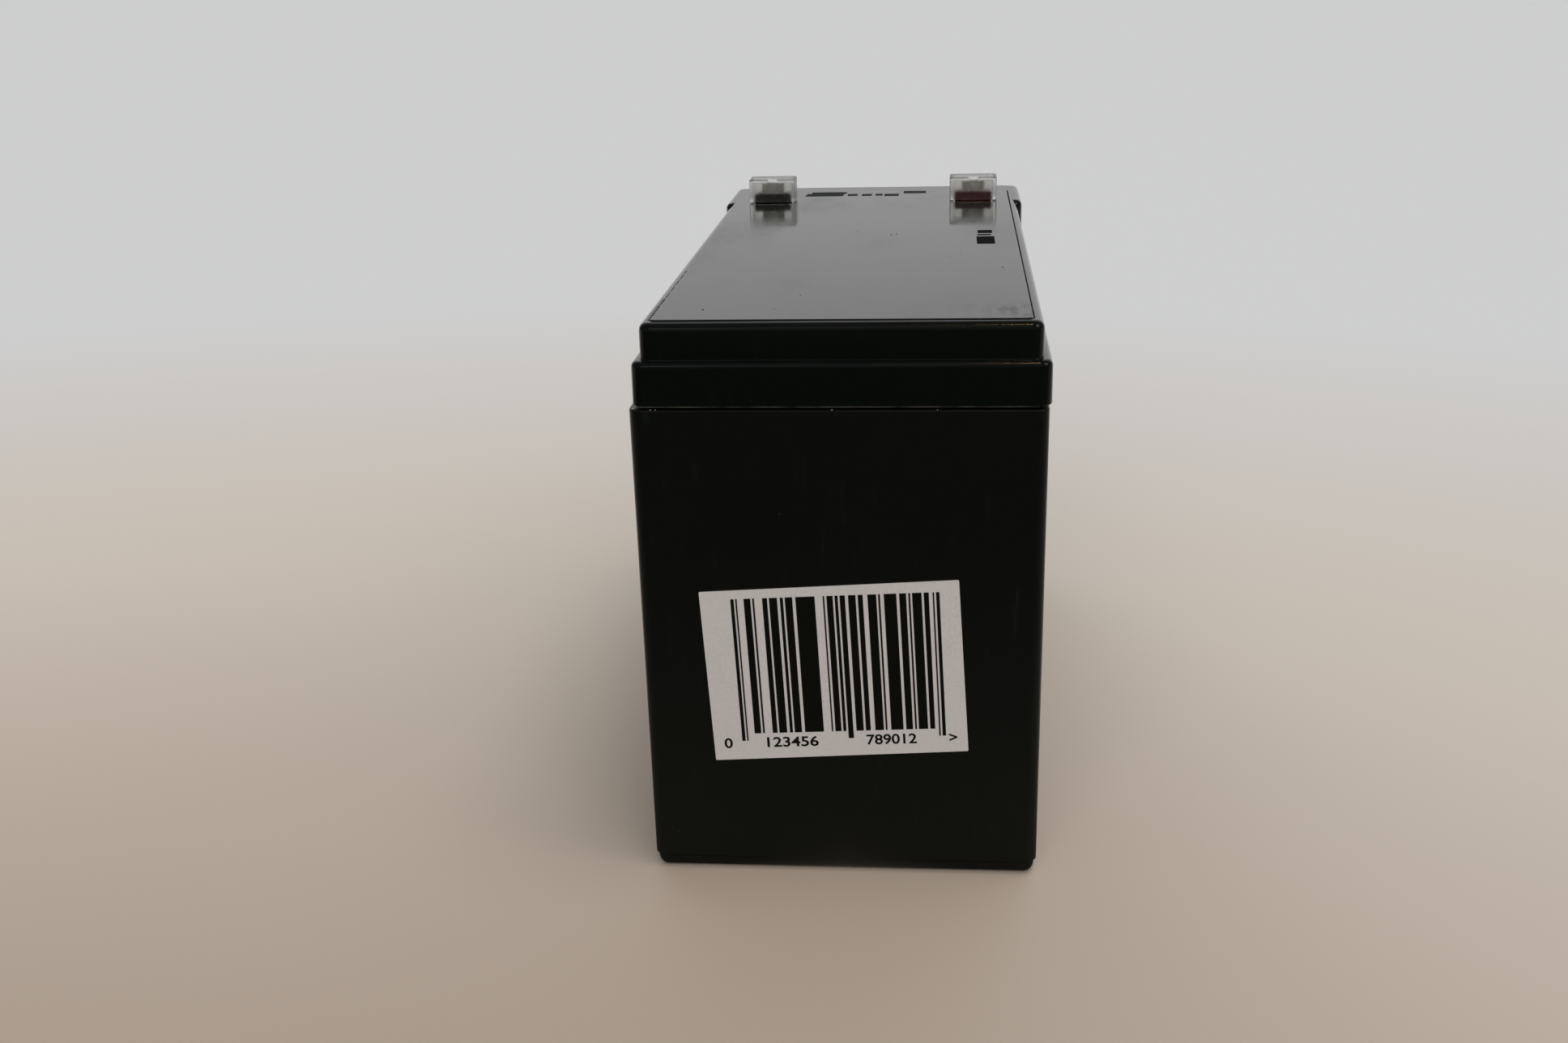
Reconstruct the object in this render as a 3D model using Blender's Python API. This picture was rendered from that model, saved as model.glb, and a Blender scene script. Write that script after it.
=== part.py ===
"""Sealed lead acid battery: a 12 V block of six cells in a moulded case with two blade terminals.

Lengths are in metres. X runs across the block, Y along it from the labelled end to the terminals,
and Z up from the table. The series path starts at the negative terminal, runs down one row of three
cells, crosses to the other row at the labelled end and comes back to the positive terminal.
"""

import math

import bmesh
import bpy

# Container, as long as the lid
JAR_WIDTH = 0.0653
LENGTH = 0.1510
RIM_HEIGHT = 0.0806
JAR_WALL = 0.0026
JAR_FLOOR = 0.0024
PARTITION = 0.0018
JAR_CORNER = 0.0020
WALL_SLOPE = 0.007
BASE_STEP_HEIGHT = 0.0022
BASE_STEP_DEPTH = 0.0004
BASE_ROUND = 0.0018
RIM_ROUND = 0.0003
TONGUE_WIDTH = 0.0009
TONGUE_HEIGHT = 0.0028
CELL_CORNER = 0.0010

# Lid
LID_NARROWER = 0.0003
LID_CORNER = 0.0020
LID_SHIFT = 0.0005
SEAM_HEIGHT = 0.0005
FLANGE_HEIGHT = 0.0071
FLANGE_ROUND = 0.0010
FLANGE_FOOT_ROUND = 0.0003
TIER_HEIGHT = 0.0058
TIER_SIDE_INSET = 0.0013
TIER_END_INSET = 0.0012
TIER_ROUND = 0.0013
TIER_FILLET = 0.0002
SHOULDER_LENGTH = 0.0243
SHOULDER_INSET = 0.0001
DECK_THICKNESS = 0.0025
DECK_ROOF = 0.0015
LIP_WIDTH = 0.0009
RESIN_BEAD = 0.0007
CORE_MARGIN = 0.0020

# Cover plate over the valves
PLATE_SIDE_MARGIN = 0.0030
PLATE_THICKNESS = 0.0018
PLATE_PROUD = 0.0002
PLATE_FRONT_MARGIN = 0.0031
PLATE_REAR_MARGIN = 0.0100
PLATE_CORNER = 0.0008
PLATE_ROUND = 0.0002
PLATE_SEAM = 0.00025
PLATE_LEDGE = 0.0010
PAD_RADIUS = 0.0032

# Vents and their rubber caps
VENT_OFFSET = -0.0090
CHIMNEY_RADIUS = 0.0030
CHIMNEY_HEIGHT = 0.0036
VENT_BORE_RADIUS = 0.0012
VALVE_RADIUS = 0.0043
VALVE_ROOF = 0.0008
VALVE_ROUND = 0.0006

# Terminals
TERMINAL_FROM_SIDE = 0.0107
TERMINAL_FROM_END = 0.0244
TAB_WIDTH = 0.00475
TAB_THICKNESS = 0.0008
TAB_FREE_LENGTH = 0.0063
TAB_BEND = 0.0010
TAB_HOLE_RADIUS = 0.0007
POST_SETBACK = 0.0030
POST_RADIUS = 0.0025
POST_FLARE_RADIUS = 0.0037
POST_FLARE_HEIGHT = 0.0020
SPIGOT_RADIUS = 0.0011
SPIGOT_HEIGHT = 0.0012
TAB_FOOT_REACH = 0.0022
SEAL_RING_THICKNESS = 0.0015
WELL_WIDTH = 0.0096
WELL_LENGTH = 0.0092
WELL_WALL = 0.0012
WELL_CORNER = 0.0015
WELL_FLOOR = 0.0006
WELL_HEIGHT = 0.0046
BASE_WIDTH = 0.0078
BASE_LENGTH = 0.0042
BASE_STANDING = 0.00185
BASE_SOCKET_WALL = 0.0007
BASE_FILLET = 0.0005
CAP_WIDTH = 0.0101
CAP_LENGTH = 0.0062
CAP_HEIGHT = 0.0048
CAP_WALL = 0.0008
CAP_CORNER = 0.0007
CAP_NOTCH_RADIUS = 0.0011

# Plate groups, glass mats and links
NEGATIVE_PLATE = 0.0017
POSITIVE_PLATE = 0.0025
MAT_THICKNESS = 0.0008
MAT_MARGIN = 0.0010
LUG_WIDTH = 0.0080
LUG_HEIGHT = 0.0045
STRAP_WIDTH = 0.0090
STRAP_HEIGHT = 0.0032
STRAP_CORNER = 0.0012
LUG_SEAT = 0.0010
LINK_WIDTH = 0.0060
LINK_BAR = 0.0026
LINK_RISE = 0.0008
LINK_FOOT = 0.0050
HEAD_SPACE = 0.0010

# Barcode label on the end of the container
LABEL_WIDTH = 0.0417
LABEL_LENGTH = 0.0299
LABEL_THICKNESS = 0.00012
LABEL_OFFSET = -0.0010
LABEL_CENTRE_HEIGHT = 0.0367
LABEL_TILT = math.radians(3.3)

# Clearances, and how finely round forms are divided
FIT = 0.0003
STACK_GAP = 0.00015
FILM = 0.00005
THROUGH = 0.0010
CORNER_STEPS = 6
SMALL_STEPS = 2
EDGE_STEPS = 3
CASE_EDGE_STEPS = 4
HIDDEN_EDGE_STEPS = 1
ROUND_STEPS = 18
HOLE_STEPS = 12
RING_STEPS = 8
FOLD_STEPS = 4
SHARP_ANGLE = math.radians(35)
SMALL_CORNER = 0.0002
ROWS = 3

# Heights of the stack of mouldings above the table
TONGUE_TOP = RIM_HEIGHT + TONGUE_HEIGHT
FLANGE_BOTTOM = RIM_HEIGHT + SEAM_HEIGHT
FLANGE_TOP = FLANGE_BOTTOM + FLANGE_HEIGHT
LID_TOP = FLANGE_TOP + TIER_HEIGHT
GROOVE_ROOF = TONGUE_TOP + RESIN_BEAD + 2 * FIT
DECK_TOP = GROOVE_ROOF + DECK_ROOF
DECK_BOTTOM = DECK_TOP - DECK_THICKNESS
PLATE_TOP = LID_TOP + PLATE_PROUD
PLATE_BOTTOM = PLATE_TOP - PLATE_THICKNESS
LEDGE_TOP = PLATE_BOTTOM - FIT
CHIMNEY_TOP = DECK_TOP + CHIMNEY_HEIGHT
VALVE_BOTTOM = DECK_TOP + FIT
VALVE_TOP = CHIMNEY_TOP + FIT + VALVE_ROOF
WELL_FLOOR_TOP = DECK_TOP + WELL_FLOOR
WELL_TOP = DECK_TOP + WELL_HEIGHT
SEAL_RING_BOTTOM = WELL_FLOOR_TOP + FIT
BASE_BOTTOM = SEAL_RING_BOTTOM + SEAL_RING_THICKNESS + FIT
BASE_TOP = PLATE_TOP + BASE_STANDING
POST_TOP = BASE_BOTTOM + FIT
FOOT_BOTTOM = POST_TOP + FIT
CAP_BOTTOM = PLATE_TOP + FIT
CAP_TOP = CAP_BOTTOM + CAP_HEIGHT
TAB_TOP = CAP_TOP - CAP_WALL - FIT
SOCKET_FLOOR = TAB_TOP - TAB_FREE_LENGTH
CELL_FLOOR = JAR_FLOOR + FIT
LINK_TOP = FLANGE_BOTTOM - HEAD_SPACE
LINK_BAR_BOTTOM = LINK_TOP - LINK_BAR
LINK_BOTTOM = LINK_BAR_BOTTOM - LINK_RISE
STRAP_TOP = LINK_BOTTOM - FIT
STRAP_BOTTOM = STRAP_TOP - STRAP_HEIGHT
PLATES_TOP = STRAP_BOTTOM - LUG_HEIGHT

# The lid follows the container's width, and the plate follows the lid's.
LID_WIDTH = JAR_WIDTH - LID_NARROWER
PLATE_WIDTH = LID_WIDTH - 2 * PLATE_SIDE_MARGIN

# The lid sits LID_SHIFT to one side of the container, and the origin is midway across both.
LID_X = (JAR_WIDTH / 2 + LID_SHIFT - LID_WIDTH / 2) / 2
JAR_X = LID_X - LID_SHIFT
GROOVE_SLACK = LID_SHIFT + FIT
TAB_Y = LENGTH / 2 - TERMINAL_FROM_END
POST_Y = TAB_Y + POST_SETBACK


def rounded_rectangle(width, length, radius, centre=(0.0, 0.0), steps=SMALL_STEPS):
    """The points of a rectangle with round corners, anticlockwise from above."""
    points = []
    for quarter, (side_x, side_y) in enumerate(((1, 1), (-1, 1), (-1, -1), (1, -1))):
        corner_x = centre[0] + side_x * (width / 2 - radius)
        corner_y = centre[1] + side_y * (length / 2 - radius)
        for step in range(steps + 1):
            angle = math.pi / 2 * (quarter + step / steps)
            points.append((corner_x + radius * math.cos(angle), corner_y + radius * math.sin(angle)))
    return points


def circle(radius, centre=(0.0, 0.0), steps=ROUND_STEPS):
    """The points of a circle, anticlockwise from above."""
    angles = [2 * math.pi * step / steps for step in range(steps)]
    return [(centre[0] + radius * math.cos(a), centre[1] + radius * math.sin(a)) for a in angles]


def add_loft(shape, sections):
    """Adds a closed skin through level outlines, given as (points, height) from the bottom up."""
    rings = [[shape.verts.new((x, y, z)) for x, y in points] for points, z in sections]
    count = len(rings[0])
    for lower, upper in zip(rings, rings[1:]):
        for i in range(count):
            j = (i + 1) % count
            shape.faces.new((lower[i], lower[j], upper[j], upper[i]))
    shape.faces.new(reversed(rings[0]))
    shape.faces.new(rings[-1])


def add_block(
    shape, width, length, low, high, corner, centre=(0.0, 0.0), low_round=0.0, high_round=0.0,
    steps=SMALL_STEPS, edge_steps=EDGE_STEPS, foot_fillet=0.0,
):
    """Adds an upright block with round corners, and edges that are round or flare out where asked."""

    def section(inset, height):
        radius = max(corner - inset, SMALL_CORNER)
        outline = rounded_rectangle(width - 2 * inset, length - 2 * inset, radius, centre, steps)
        return outline, height

    quarter = [math.pi / 2 * step / edge_steps for step in range(edge_steps + 1)]
    sections = []
    if foot_fillet:
        foot = low + foot_fillet
        sections.append(section(-foot_fillet, low))
        sections += [
            section(-foot_fillet * (1 - math.sin(a)), foot + foot_fillet * (1 - math.cos(a))) for a in quarter
        ]
    elif low_round:
        sections += [
            section(low_round * (1 - math.sin(a)), low + low_round * (1 - math.cos(a))) for a in quarter
        ]
    else:
        sections.append(section(0.0, low))
    if high_round:
        sections += [
            section(high_round * (1 - math.cos(a)), high - high_round * (1 - math.sin(a))) for a in quarter
        ]
    else:
        sections.append(section(0.0, high))
    add_loft(shape, sections)


def add_column(shape, radius, low, high, centre=(0.0, 0.0)):
    """Adds an upright cylinder."""
    add_loft(shape, [(circle(radius, centre), low), (circle(radius, centre), high)])


def along_x(u, v, w):
    """Lays an outline in the YZ plane, to be drawn out along X."""
    return w, u, v


def along_y(u, v, w):
    """Lays an outline in the XZ plane, to be drawn out along Y."""
    return u, w, v


def along_z(u, v, w):
    """Lays an outline in the XY plane, to be drawn out along Z."""
    return u, v, w


def add_prism(shape, points, start, end, lay):
    """Adds an outline drawn out from start to end along the direction that lay gives."""
    first = [shape.verts.new(lay(u, v, start)) for u, v in points]
    last = [shape.verts.new(lay(u, v, end)) for u, v in points]
    for i in range(len(points)):
        j = (i + 1) % len(points)
        shape.faces.new((first[i], first[j], last[j], last[i]))
    shape.faces.new(first)
    shape.faces.new(last)


def add_turning(shape, profile, closed):
    """Adds a profile of (radius, height) spun once round the Z axis."""
    points = [shape.verts.new((radius, 0.0, height)) for radius, height in profile]
    edges = [shape.edges.new(pair) for pair in zip(points, points[1:])]
    if closed:
        edges.append(shape.edges.new((points[-1], points[0])))
    bmesh.ops.spin(
        shape,
        geom=points + edges,
        axis=(0, 0, 1),
        cent=(0, 0, 0),
        angle=2 * math.pi,
        steps=ROUND_STEPS,
        use_merge=True,
    )
    bmesh.ops.remove_doubles(shape, verts=shape.verts[:], dist=1e-6)


def make(name, shape, finish, location=(0.0, 0.0, 0.0)):
    """Turns a bmesh into a named object with one finish."""
    bmesh.ops.recalc_face_normals(shape, faces=shape.faces[:])
    mesh = bpy.data.meshes.new(name)
    shape.to_mesh(mesh)
    shape.free()
    if finish:
        mesh.materials.append(finish)
    thing = bpy.data.objects.new(name, mesh)
    thing.location = location
    bpy.context.scene.collection.objects.link(thing)
    return thing


def combine(thing, tool, operation):
    """Joins a hidden tool to a thing, or cuts it away. The tool keeps to the thing's own frame."""
    tool.parent = thing
    tool.hide_render = True
    tool.display_type = "WIRE"
    step = thing.modifiers.new(tool.name, "BOOLEAN")
    step.operation = operation
    step.solver = "EXACT"
    step.object = tool


def cut(thing, name, shape):
    """Cuts a named form out of a thing."""
    combine(thing, make(name, shape, None), "DIFFERENCE")


def join(thing, name, shape):
    """Joins a named form to a thing."""
    combine(thing, make(name, shape, None), "UNION")


def settle():
    """Applies the joins and cuts, then shades every thing smooth between its sharp edges."""
    bpy.context.view_layer.update()
    graph = bpy.context.evaluated_depsgraph_get()
    things = [thing for thing in bpy.data.objects if not thing.hide_render]
    shaped = [bpy.data.meshes.new_from_object(thing.evaluated_get(graph)) for thing in things]
    for thing, mesh in zip(things, shaped):
        mesh.shade_smooth()
        mesh.set_sharp_from_angle(angle=SHARP_ANGLE)
        thing.modifiers.clear()
        thing.data = mesh
        mesh.name = thing.name
    for tool in [thing for thing in bpy.data.objects if thing.hide_render]:
        bpy.data.objects.remove(tool, do_unlink=True)


def linear(channel):
    """One sRGB channel, 0 to 1, as linear light."""
    if channel <= 0.04045:
        return channel / 12.92
    return ((channel + 0.055) / 1.055) ** 2.4


def finish(name, colour, roughness, metallic=0.0, alpha=1.0):
    """A Principled finish, with its colour written as sRGB hex."""
    material = bpy.data.materials.new(name)
    material.use_nodes = True
    shader = material.node_tree.nodes["Principled BSDF"]
    channels = [linear(int(colour[i : i + 2], 16) / 255) for i in (0, 2, 4)]
    shader.inputs["Base Color"].default_value = (*channels, 1.0)
    shader.inputs["Roughness"].default_value = roughness
    shader.inputs["Metallic"].default_value = metallic
    shader.inputs["Alpha"].default_value = alpha
    material.diffuse_color = (*channels, alpha)
    return material


def cell_span(column, row, height):
    """The (x low, x high, y low, y high) of a cell at a height, from the container's middle."""
    lean = (RIM_HEIGHT - height) * WALL_SLOPE
    wall_x = JAR_WIDTH / 2 - JAR_WALL - lean
    wall_y = LENGTH / 2 - JAR_WALL - lean
    rim_y = LENGTH / 2 - JAR_WALL
    cell_length = (2 * rim_y - (ROWS - 1) * PARTITION) / ROWS
    low_y = -rim_y + row * (cell_length + PARTITION)
    high_y = low_y + cell_length
    x_span = (-wall_x, -PARTITION / 2) if column == 0 else (PARTITION / 2, wall_x)
    return *x_span, max(low_y, -wall_y), min(high_y, wall_y)


def middle(span):
    """The middle point of a cell's span, and its size across and along."""
    low_x, high_x, low_y, high_y = span
    return ((low_x + high_x) / 2, (low_y + high_y) / 2), high_x - low_x, high_y - low_y


def every_cell():
    """Column and row of each cell, along the series path from the negative terminal."""
    return [(0, row) for row in reversed(range(ROWS))] + [(1, row) for row in range(ROWS)]


# The plate stack is as wide as the narrowest part of a cell, and its length leaves room for the folds.
FLOOR_SPANS = [middle(cell_span(column, row, JAR_FLOOR)) for column, row in every_cell()]
STACK_WIDTH = min(span[1] for span in FLOOR_SPANS) - 2 * FIT
STACK_LENGTH = min(span[2] for span in FLOOR_SPANS) - 2 * FIT
PAIR_WIDTH = NEGATIVE_PLATE + POSITIVE_PLATE + 2 * MAT_THICKNESS + 4 * STACK_GAP
PAIRS = max(1, int((STACK_WIDTH - NEGATIVE_PLATE) / PAIR_WIDTH))
MATS_WIDTH = STACK_WIDTH - (PAIRS + 1) * NEGATIVE_PLATE - PAIRS * (POSITIVE_PLATE + 4 * STACK_GAP)
MAT_FILLED = MATS_WIDTH / (2 * PAIRS)
FOLD_REACH = POSITIVE_PLATE / 2 + STACK_GAP + MAT_FILLED
PLATE_LENGTH = STACK_LENGTH - 2 * FOLD_REACH
LAST_CELL_Y = FLOOR_SPANS[0][0][1]
LUG_OFFSET = POST_Y - LAST_CELL_Y


def cell_centre(cell):
    """Where a cell's stack stands, in the world's X and Y."""
    (x, y), _, _ = FLOOR_SPANS[cell]
    return JAR_X + x, y


def polarity_side(cell, positive):
    """Which way along Y a cell's strap lies. The second row of cells is the first turned round."""
    first_row = cell < ROWS
    return 1 if positive != first_row else -1


def make_container(finishes):
    """The injection moulded jar: tapered walls, stepped foot, six cells and a tongue for the lid."""

    def wall(height, inset=0.0):
        lean = (RIM_HEIGHT - height) * WALL_SLOPE + inset
        radius = max(JAR_CORNER - inset, SMALL_CORNER)
        width, length = JAR_WIDTH - 2 * lean, LENGTH - 2 * lean
        return rounded_rectangle(width, length, radius, steps=CORNER_STEPS)

    shape = bmesh.new()
    sections = []
    for step in range(CASE_EDGE_STEPS + 1):
        angle = math.pi / 2 * step / CASE_EDGE_STEPS
        height = BASE_ROUND * (1 - math.cos(angle))
        inset = BASE_STEP_DEPTH + BASE_ROUND * (1 - math.sin(angle))
        sections.append((wall(height, inset), height))
    sections.append((wall(BASE_STEP_HEIGHT, BASE_STEP_DEPTH), BASE_STEP_HEIGHT))
    step_top = BASE_STEP_HEIGHT + BASE_STEP_DEPTH
    sections.append((wall(step_top), step_top))
    for step in range(EDGE_STEPS + 1):
        angle = math.pi / 2 * step / EDGE_STEPS
        height = RIM_HEIGHT - RIM_ROUND * (1 - math.sin(angle))
        sections.append((wall(height, RIM_ROUND * (1 - math.cos(angle))), height))
    tongue = JAR_WALL - TONGUE_WIDTH
    sections.append((wall(RIM_HEIGHT, tongue), RIM_HEIGHT))
    sections.append((wall(RIM_HEIGHT, tongue), TONGUE_TOP))
    add_loft(shape, sections)
    jar = make("container", shape, finishes["case"], (JAR_X, 0, 0))

    cells = bmesh.new()
    for column, row in every_cell():
        levels = []
        for height in (JAR_FLOOR, RIM_HEIGHT, TONGUE_TOP + THROUGH):
            centre, width, length = middle(cell_span(column, row, min(height, RIM_HEIGHT)))
            levels.append((rounded_rectangle(width, length, CELL_CORNER, centre), height))
        add_loft(cells, levels)
    cut(jar, "cell_cutter", cells)

    notches = bmesh.new()
    for link in range(len(FLOOR_SPANS) - 1):
        (x, y), crosswise = link_middle(link)
        gap = LINK_WIDTH / 2 + FIT
        half = PARTITION / 2 + THROUGH
        reach_x, reach_y = (half, gap) if crosswise else (gap, half)
        centre = (x - JAR_X, y)
        low = LINK_BAR_BOTTOM - FIT
        add_block(notches, 2 * reach_x, 2 * reach_y, low, TONGUE_TOP + THROUGH, SMALL_CORNER, centre)
    cut(jar, "link_notch_cutter", notches)
    return jar


def link_middle(link):
    """The world X and Y where a link crosses a partition, and whether it runs across the block."""
    first, second = cell_centre(link), cell_centre(link + 1)
    crosswise = (link + 1) % ROWS == 0
    if crosswise:
        return (JAR_X, first[1] + LUG_OFFSET * polarity_side(link, True)), True
    start = first[1] + LUG_OFFSET * polarity_side(link, True)
    end = second[1] + LUG_OFFSET * polarity_side(link + 1, False)
    column, row = every_cell()[link]
    low_y = cell_span(column, row, RIM_HEIGHT)[2]
    high_y = cell_span(column, row, RIM_HEIGHT)[3]
    partition_y = low_y - PARTITION / 2 if end < start else high_y + PARTITION / 2
    return (first[0], partition_y), False


def lid_islands():
    """Centre, width and length of the raised field over each cell under the lid, from the lid's middle."""
    islands = []
    for column, row in every_cell():
        centre, width, length = middle(cell_span(column, row, RIM_HEIGHT))
        islands.append((centre, width - 2 * GROOVE_SLACK, length - 2 * GROOVE_SLACK))
    return islands


def groove_size():
    """Outer width and length of the sealing groove under the lid."""
    inset = JAR_WALL - TONGUE_WIDTH - GROOVE_SLACK
    return JAR_WIDTH - 2 * inset, LENGTH - 2 * inset


def vent_centres():
    """Where each cell's vent rises through the deck, from the lid's middle."""
    return [(x, y + VENT_OFFSET) for (x, y), _, _ in lid_islands()]


def terminal_x(positive):
    """How far a terminal stands from the lid's middle. The positive one is at +X."""
    reach = LID_WIDTH / 2 - TERMINAL_FROM_SIDE
    return reach if positive else -reach


def plate_size():
    """Length of the cover plate, and its middle along Y."""
    front = -LENGTH / 2 + PLATE_FRONT_MARGIN
    rear = LENGTH / 2 - PLATE_REAR_MARGIN
    return rear - front, (rear + front) / 2


def make_lid(finishes):
    """The moulded lid: stepped top, plate recess, vent chimneys, terminal wells and a sealing groove."""
    shape = bmesh.new()
    add_block(
        shape, LID_WIDTH, LENGTH, FLANGE_BOTTOM, FLANGE_TOP, LID_CORNER, low_round=FLANGE_FOOT_ROUND,
        high_round=FLANGE_ROUND, steps=CORNER_STEPS, edge_steps=CASE_EDGE_STEPS,
    )
    lid = make("lid", shape, finishes["case"], (LID_X, 0, 0))

    tier = bmesh.new()
    tier_low = FLANGE_TOP - FILM - TIER_FILLET
    tier_length = LENGTH - 2 * TIER_END_INSET
    add_block(
        tier, LID_WIDTH - 2 * TIER_SIDE_INSET, tier_length, tier_low, LID_TOP, LID_CORNER,
        high_round=TIER_ROUND, steps=CORNER_STEPS, edge_steps=CASE_EDGE_STEPS, foot_fillet=TIER_FILLET,
    )
    join(lid, "tier_form", tier)
    shoulder = bmesh.new()
    shoulder_low = FLANGE_TOP - FLANGE_HEIGHT / 4
    shoulder_y = tier_length / 2 - SHOULDER_LENGTH / 2 - SMALL_CORNER / 2
    add_block(
        shoulder, LID_WIDTH - 2 * SHOULDER_INSET, SHOULDER_LENGTH, shoulder_low,
        LID_TOP - SMALL_CORNER / 4, LID_CORNER, (0, shoulder_y), high_round=TIER_ROUND,
        steps=CORNER_STEPS, edge_steps=CASE_EDGE_STEPS,
    )
    join(lid, "shoulder_form", shoulder)

    plate_length, plate_y = plate_size()
    recess = bmesh.new()
    add_block(
        recess, PLATE_WIDTH + 2 * PLATE_SEAM, plate_length + 2 * PLATE_SEAM, LEDGE_TOP,
        LID_TOP + THROUGH, PLATE_CORNER + PLATE_SEAM, (0, plate_y),
    )
    cut(lid, "plate_recess_cutter", recess)
    pocket = bmesh.new()
    add_block(
        pocket, PLATE_WIDTH - 2 * PLATE_LEDGE, plate_length - 2 * PLATE_LEDGE, DECK_TOP,
        LEDGE_TOP + THROUGH / 2, PLATE_CORNER, (0, plate_y),
    )
    cut(lid, "valve_bay_cutter", pocket)

    groove_width, groove_length = groove_size()
    groove = bmesh.new()
    add_block(groove, groove_width, groove_length, FLANGE_BOTTOM - THROUGH, GROOVE_ROOF, CELL_CORNER)
    cut(lid, "groove_cutter", groove)
    islands = bmesh.new()
    for centre, width, length in lid_islands():
        add_block(
            islands, width, length, FLANGE_BOTTOM, GROOVE_ROOF + DECK_ROOF / 2, CELL_CORNER, centre,
            low_round=SMALL_CORNER, edge_steps=HIDDEN_EDGE_STEPS,
        )
    join(lid, "cell_lip_form", islands)
    hollows = bmesh.new()
    for centre, width, length in lid_islands():
        add_block(
            hollows, width - 2 * LIP_WIDTH, length - 2 * LIP_WIDTH, FLANGE_BOTTOM - THROUGH,
            DECK_BOTTOM, CELL_CORNER, centre,
        )
    cut(lid, "cell_hollow_cutter", hollows)

    rear_wall = plate_y + plate_length / 2 + PLATE_SEAM
    core_low = rear_wall + CORE_MARGIN
    cores = bmesh.new()
    for (x, y), width, length in (lid_islands()[0], lid_islands()[-1]):
        core_high = y + length / 2 - LIP_WIDTH
        if core_high > core_low:
            add_block(
                cores, width - 2 * LIP_WIDTH - CORE_MARGIN, core_high - core_low, DECK_BOTTOM - THROUGH,
                LEDGE_TOP, SMALL_CORNER, (x, (core_low + core_high) / 2),
            )
    cut(lid, "rear_core_cutter", cores)

    towers = bmesh.new()
    for centre in vent_centres():
        add_column(towers, CHIMNEY_RADIUS, DECK_TOP - DECK_ROOF / 2, CHIMNEY_TOP, centre)
    join(lid, "chimney_form", towers)
    wells = bmesh.new()
    for positive in (False, True):
        add_block(
            wells, WELL_WIDTH + 2 * WELL_WALL, WELL_LENGTH + 2 * WELL_WALL, DECK_TOP - DECK_ROOF / 2,
            WELL_TOP, WELL_CORNER, (terminal_x(positive), POST_Y),
        )
    join(lid, "terminal_well_form", wells)
    hollows = bmesh.new()
    for positive in (False, True):
        add_block(
            hollows, WELL_WIDTH, WELL_LENGTH, WELL_FLOOR_TOP, WELL_TOP + THROUGH / 2,
            CELL_CORNER, (terminal_x(positive), POST_Y),
        )
    cut(lid, "terminal_well_cutter", hollows)
    bores = bmesh.new()
    for centre in vent_centres():
        add_column(bores, VENT_BORE_RADIUS, DECK_BOTTOM - THROUGH, CHIMNEY_TOP + THROUGH, centre)
    for positive in (False, True):
        centre = (terminal_x(positive), POST_Y)
        add_column(bores, POST_RADIUS + FIT, DECK_BOTTOM - THROUGH, WELL_FLOOR_TOP + THROUGH, centre)
    cut(lid, "bore_cutter", bores)
    return lid


def make_lid_seal(finishes):
    """The bead of resin in the lid's groove, with a plug over the link in each partition."""
    width, length = groove_size()
    shape = bmesh.new()
    low = TONGUE_TOP + FIT
    high = GROOVE_ROOF - FIT
    add_block(shape, width - 2 * FIT, length - 2 * FIT, low, high, CELL_CORNER - FIT)
    bead = make("lid_resin_seal", shape, finishes["resin"], (LID_X, 0, 0))
    openings = bmesh.new()
    for centre, island_width, island_length in lid_islands():
        add_block(
            openings, island_width + 2 * FIT, island_length + 2 * FIT, low - THROUGH, high + THROUGH,
            CELL_CORNER, centre,
        )
    cut(bead, "bead_opening_cutter", openings)
    plugs = bmesh.new()
    for link in range(len(FLOOR_SPANS) - 1):
        (x, y), crosswise = link_middle(link)
        across = (PARTITION, LINK_WIDTH) if crosswise else (LINK_WIDTH, PARTITION)
        centre = (x - LID_X, y)
        add_block(plugs, *across, LINK_TOP + FIT, (low + high) / 2, SMALL_CORNER, centre)
    join(bead, "link_plug_form", plugs)
    return bead


def make_cover_plate(finishes):
    """The plate welded in over the valves, with openings for the terminals and hold-down pads."""
    length, centre_y = plate_size()
    shape = bmesh.new()
    add_block(
        shape, PLATE_WIDTH, length, PLATE_BOTTOM, PLATE_TOP, PLATE_CORNER, (0, centre_y),
        high_round=PLATE_ROUND,
    )
    plate = make("cover_plate", shape, finishes["plate"], (LID_X, 0, 0))
    pads = bmesh.new()
    for centre in vent_centres():
        add_column(pads, PAD_RADIUS, VALVE_TOP + FIT, PLATE_BOTTOM + PLATE_THICKNESS / 2, centre)
    join(plate, "hold_down_form", pads)
    openings = bmesh.new()
    for positive in (False, True):
        add_block(
            openings, BASE_WIDTH + 2 * PLATE_SEAM, BASE_LENGTH + 2 * PLATE_SEAM, PLATE_BOTTOM - THROUGH,
            PLATE_TOP + THROUGH, BASE_FILLET + PLATE_SEAM, (terminal_x(positive), TAB_Y),
        )
    cut(plate, "terminal_opening_cutter", openings)
    return plate


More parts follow.
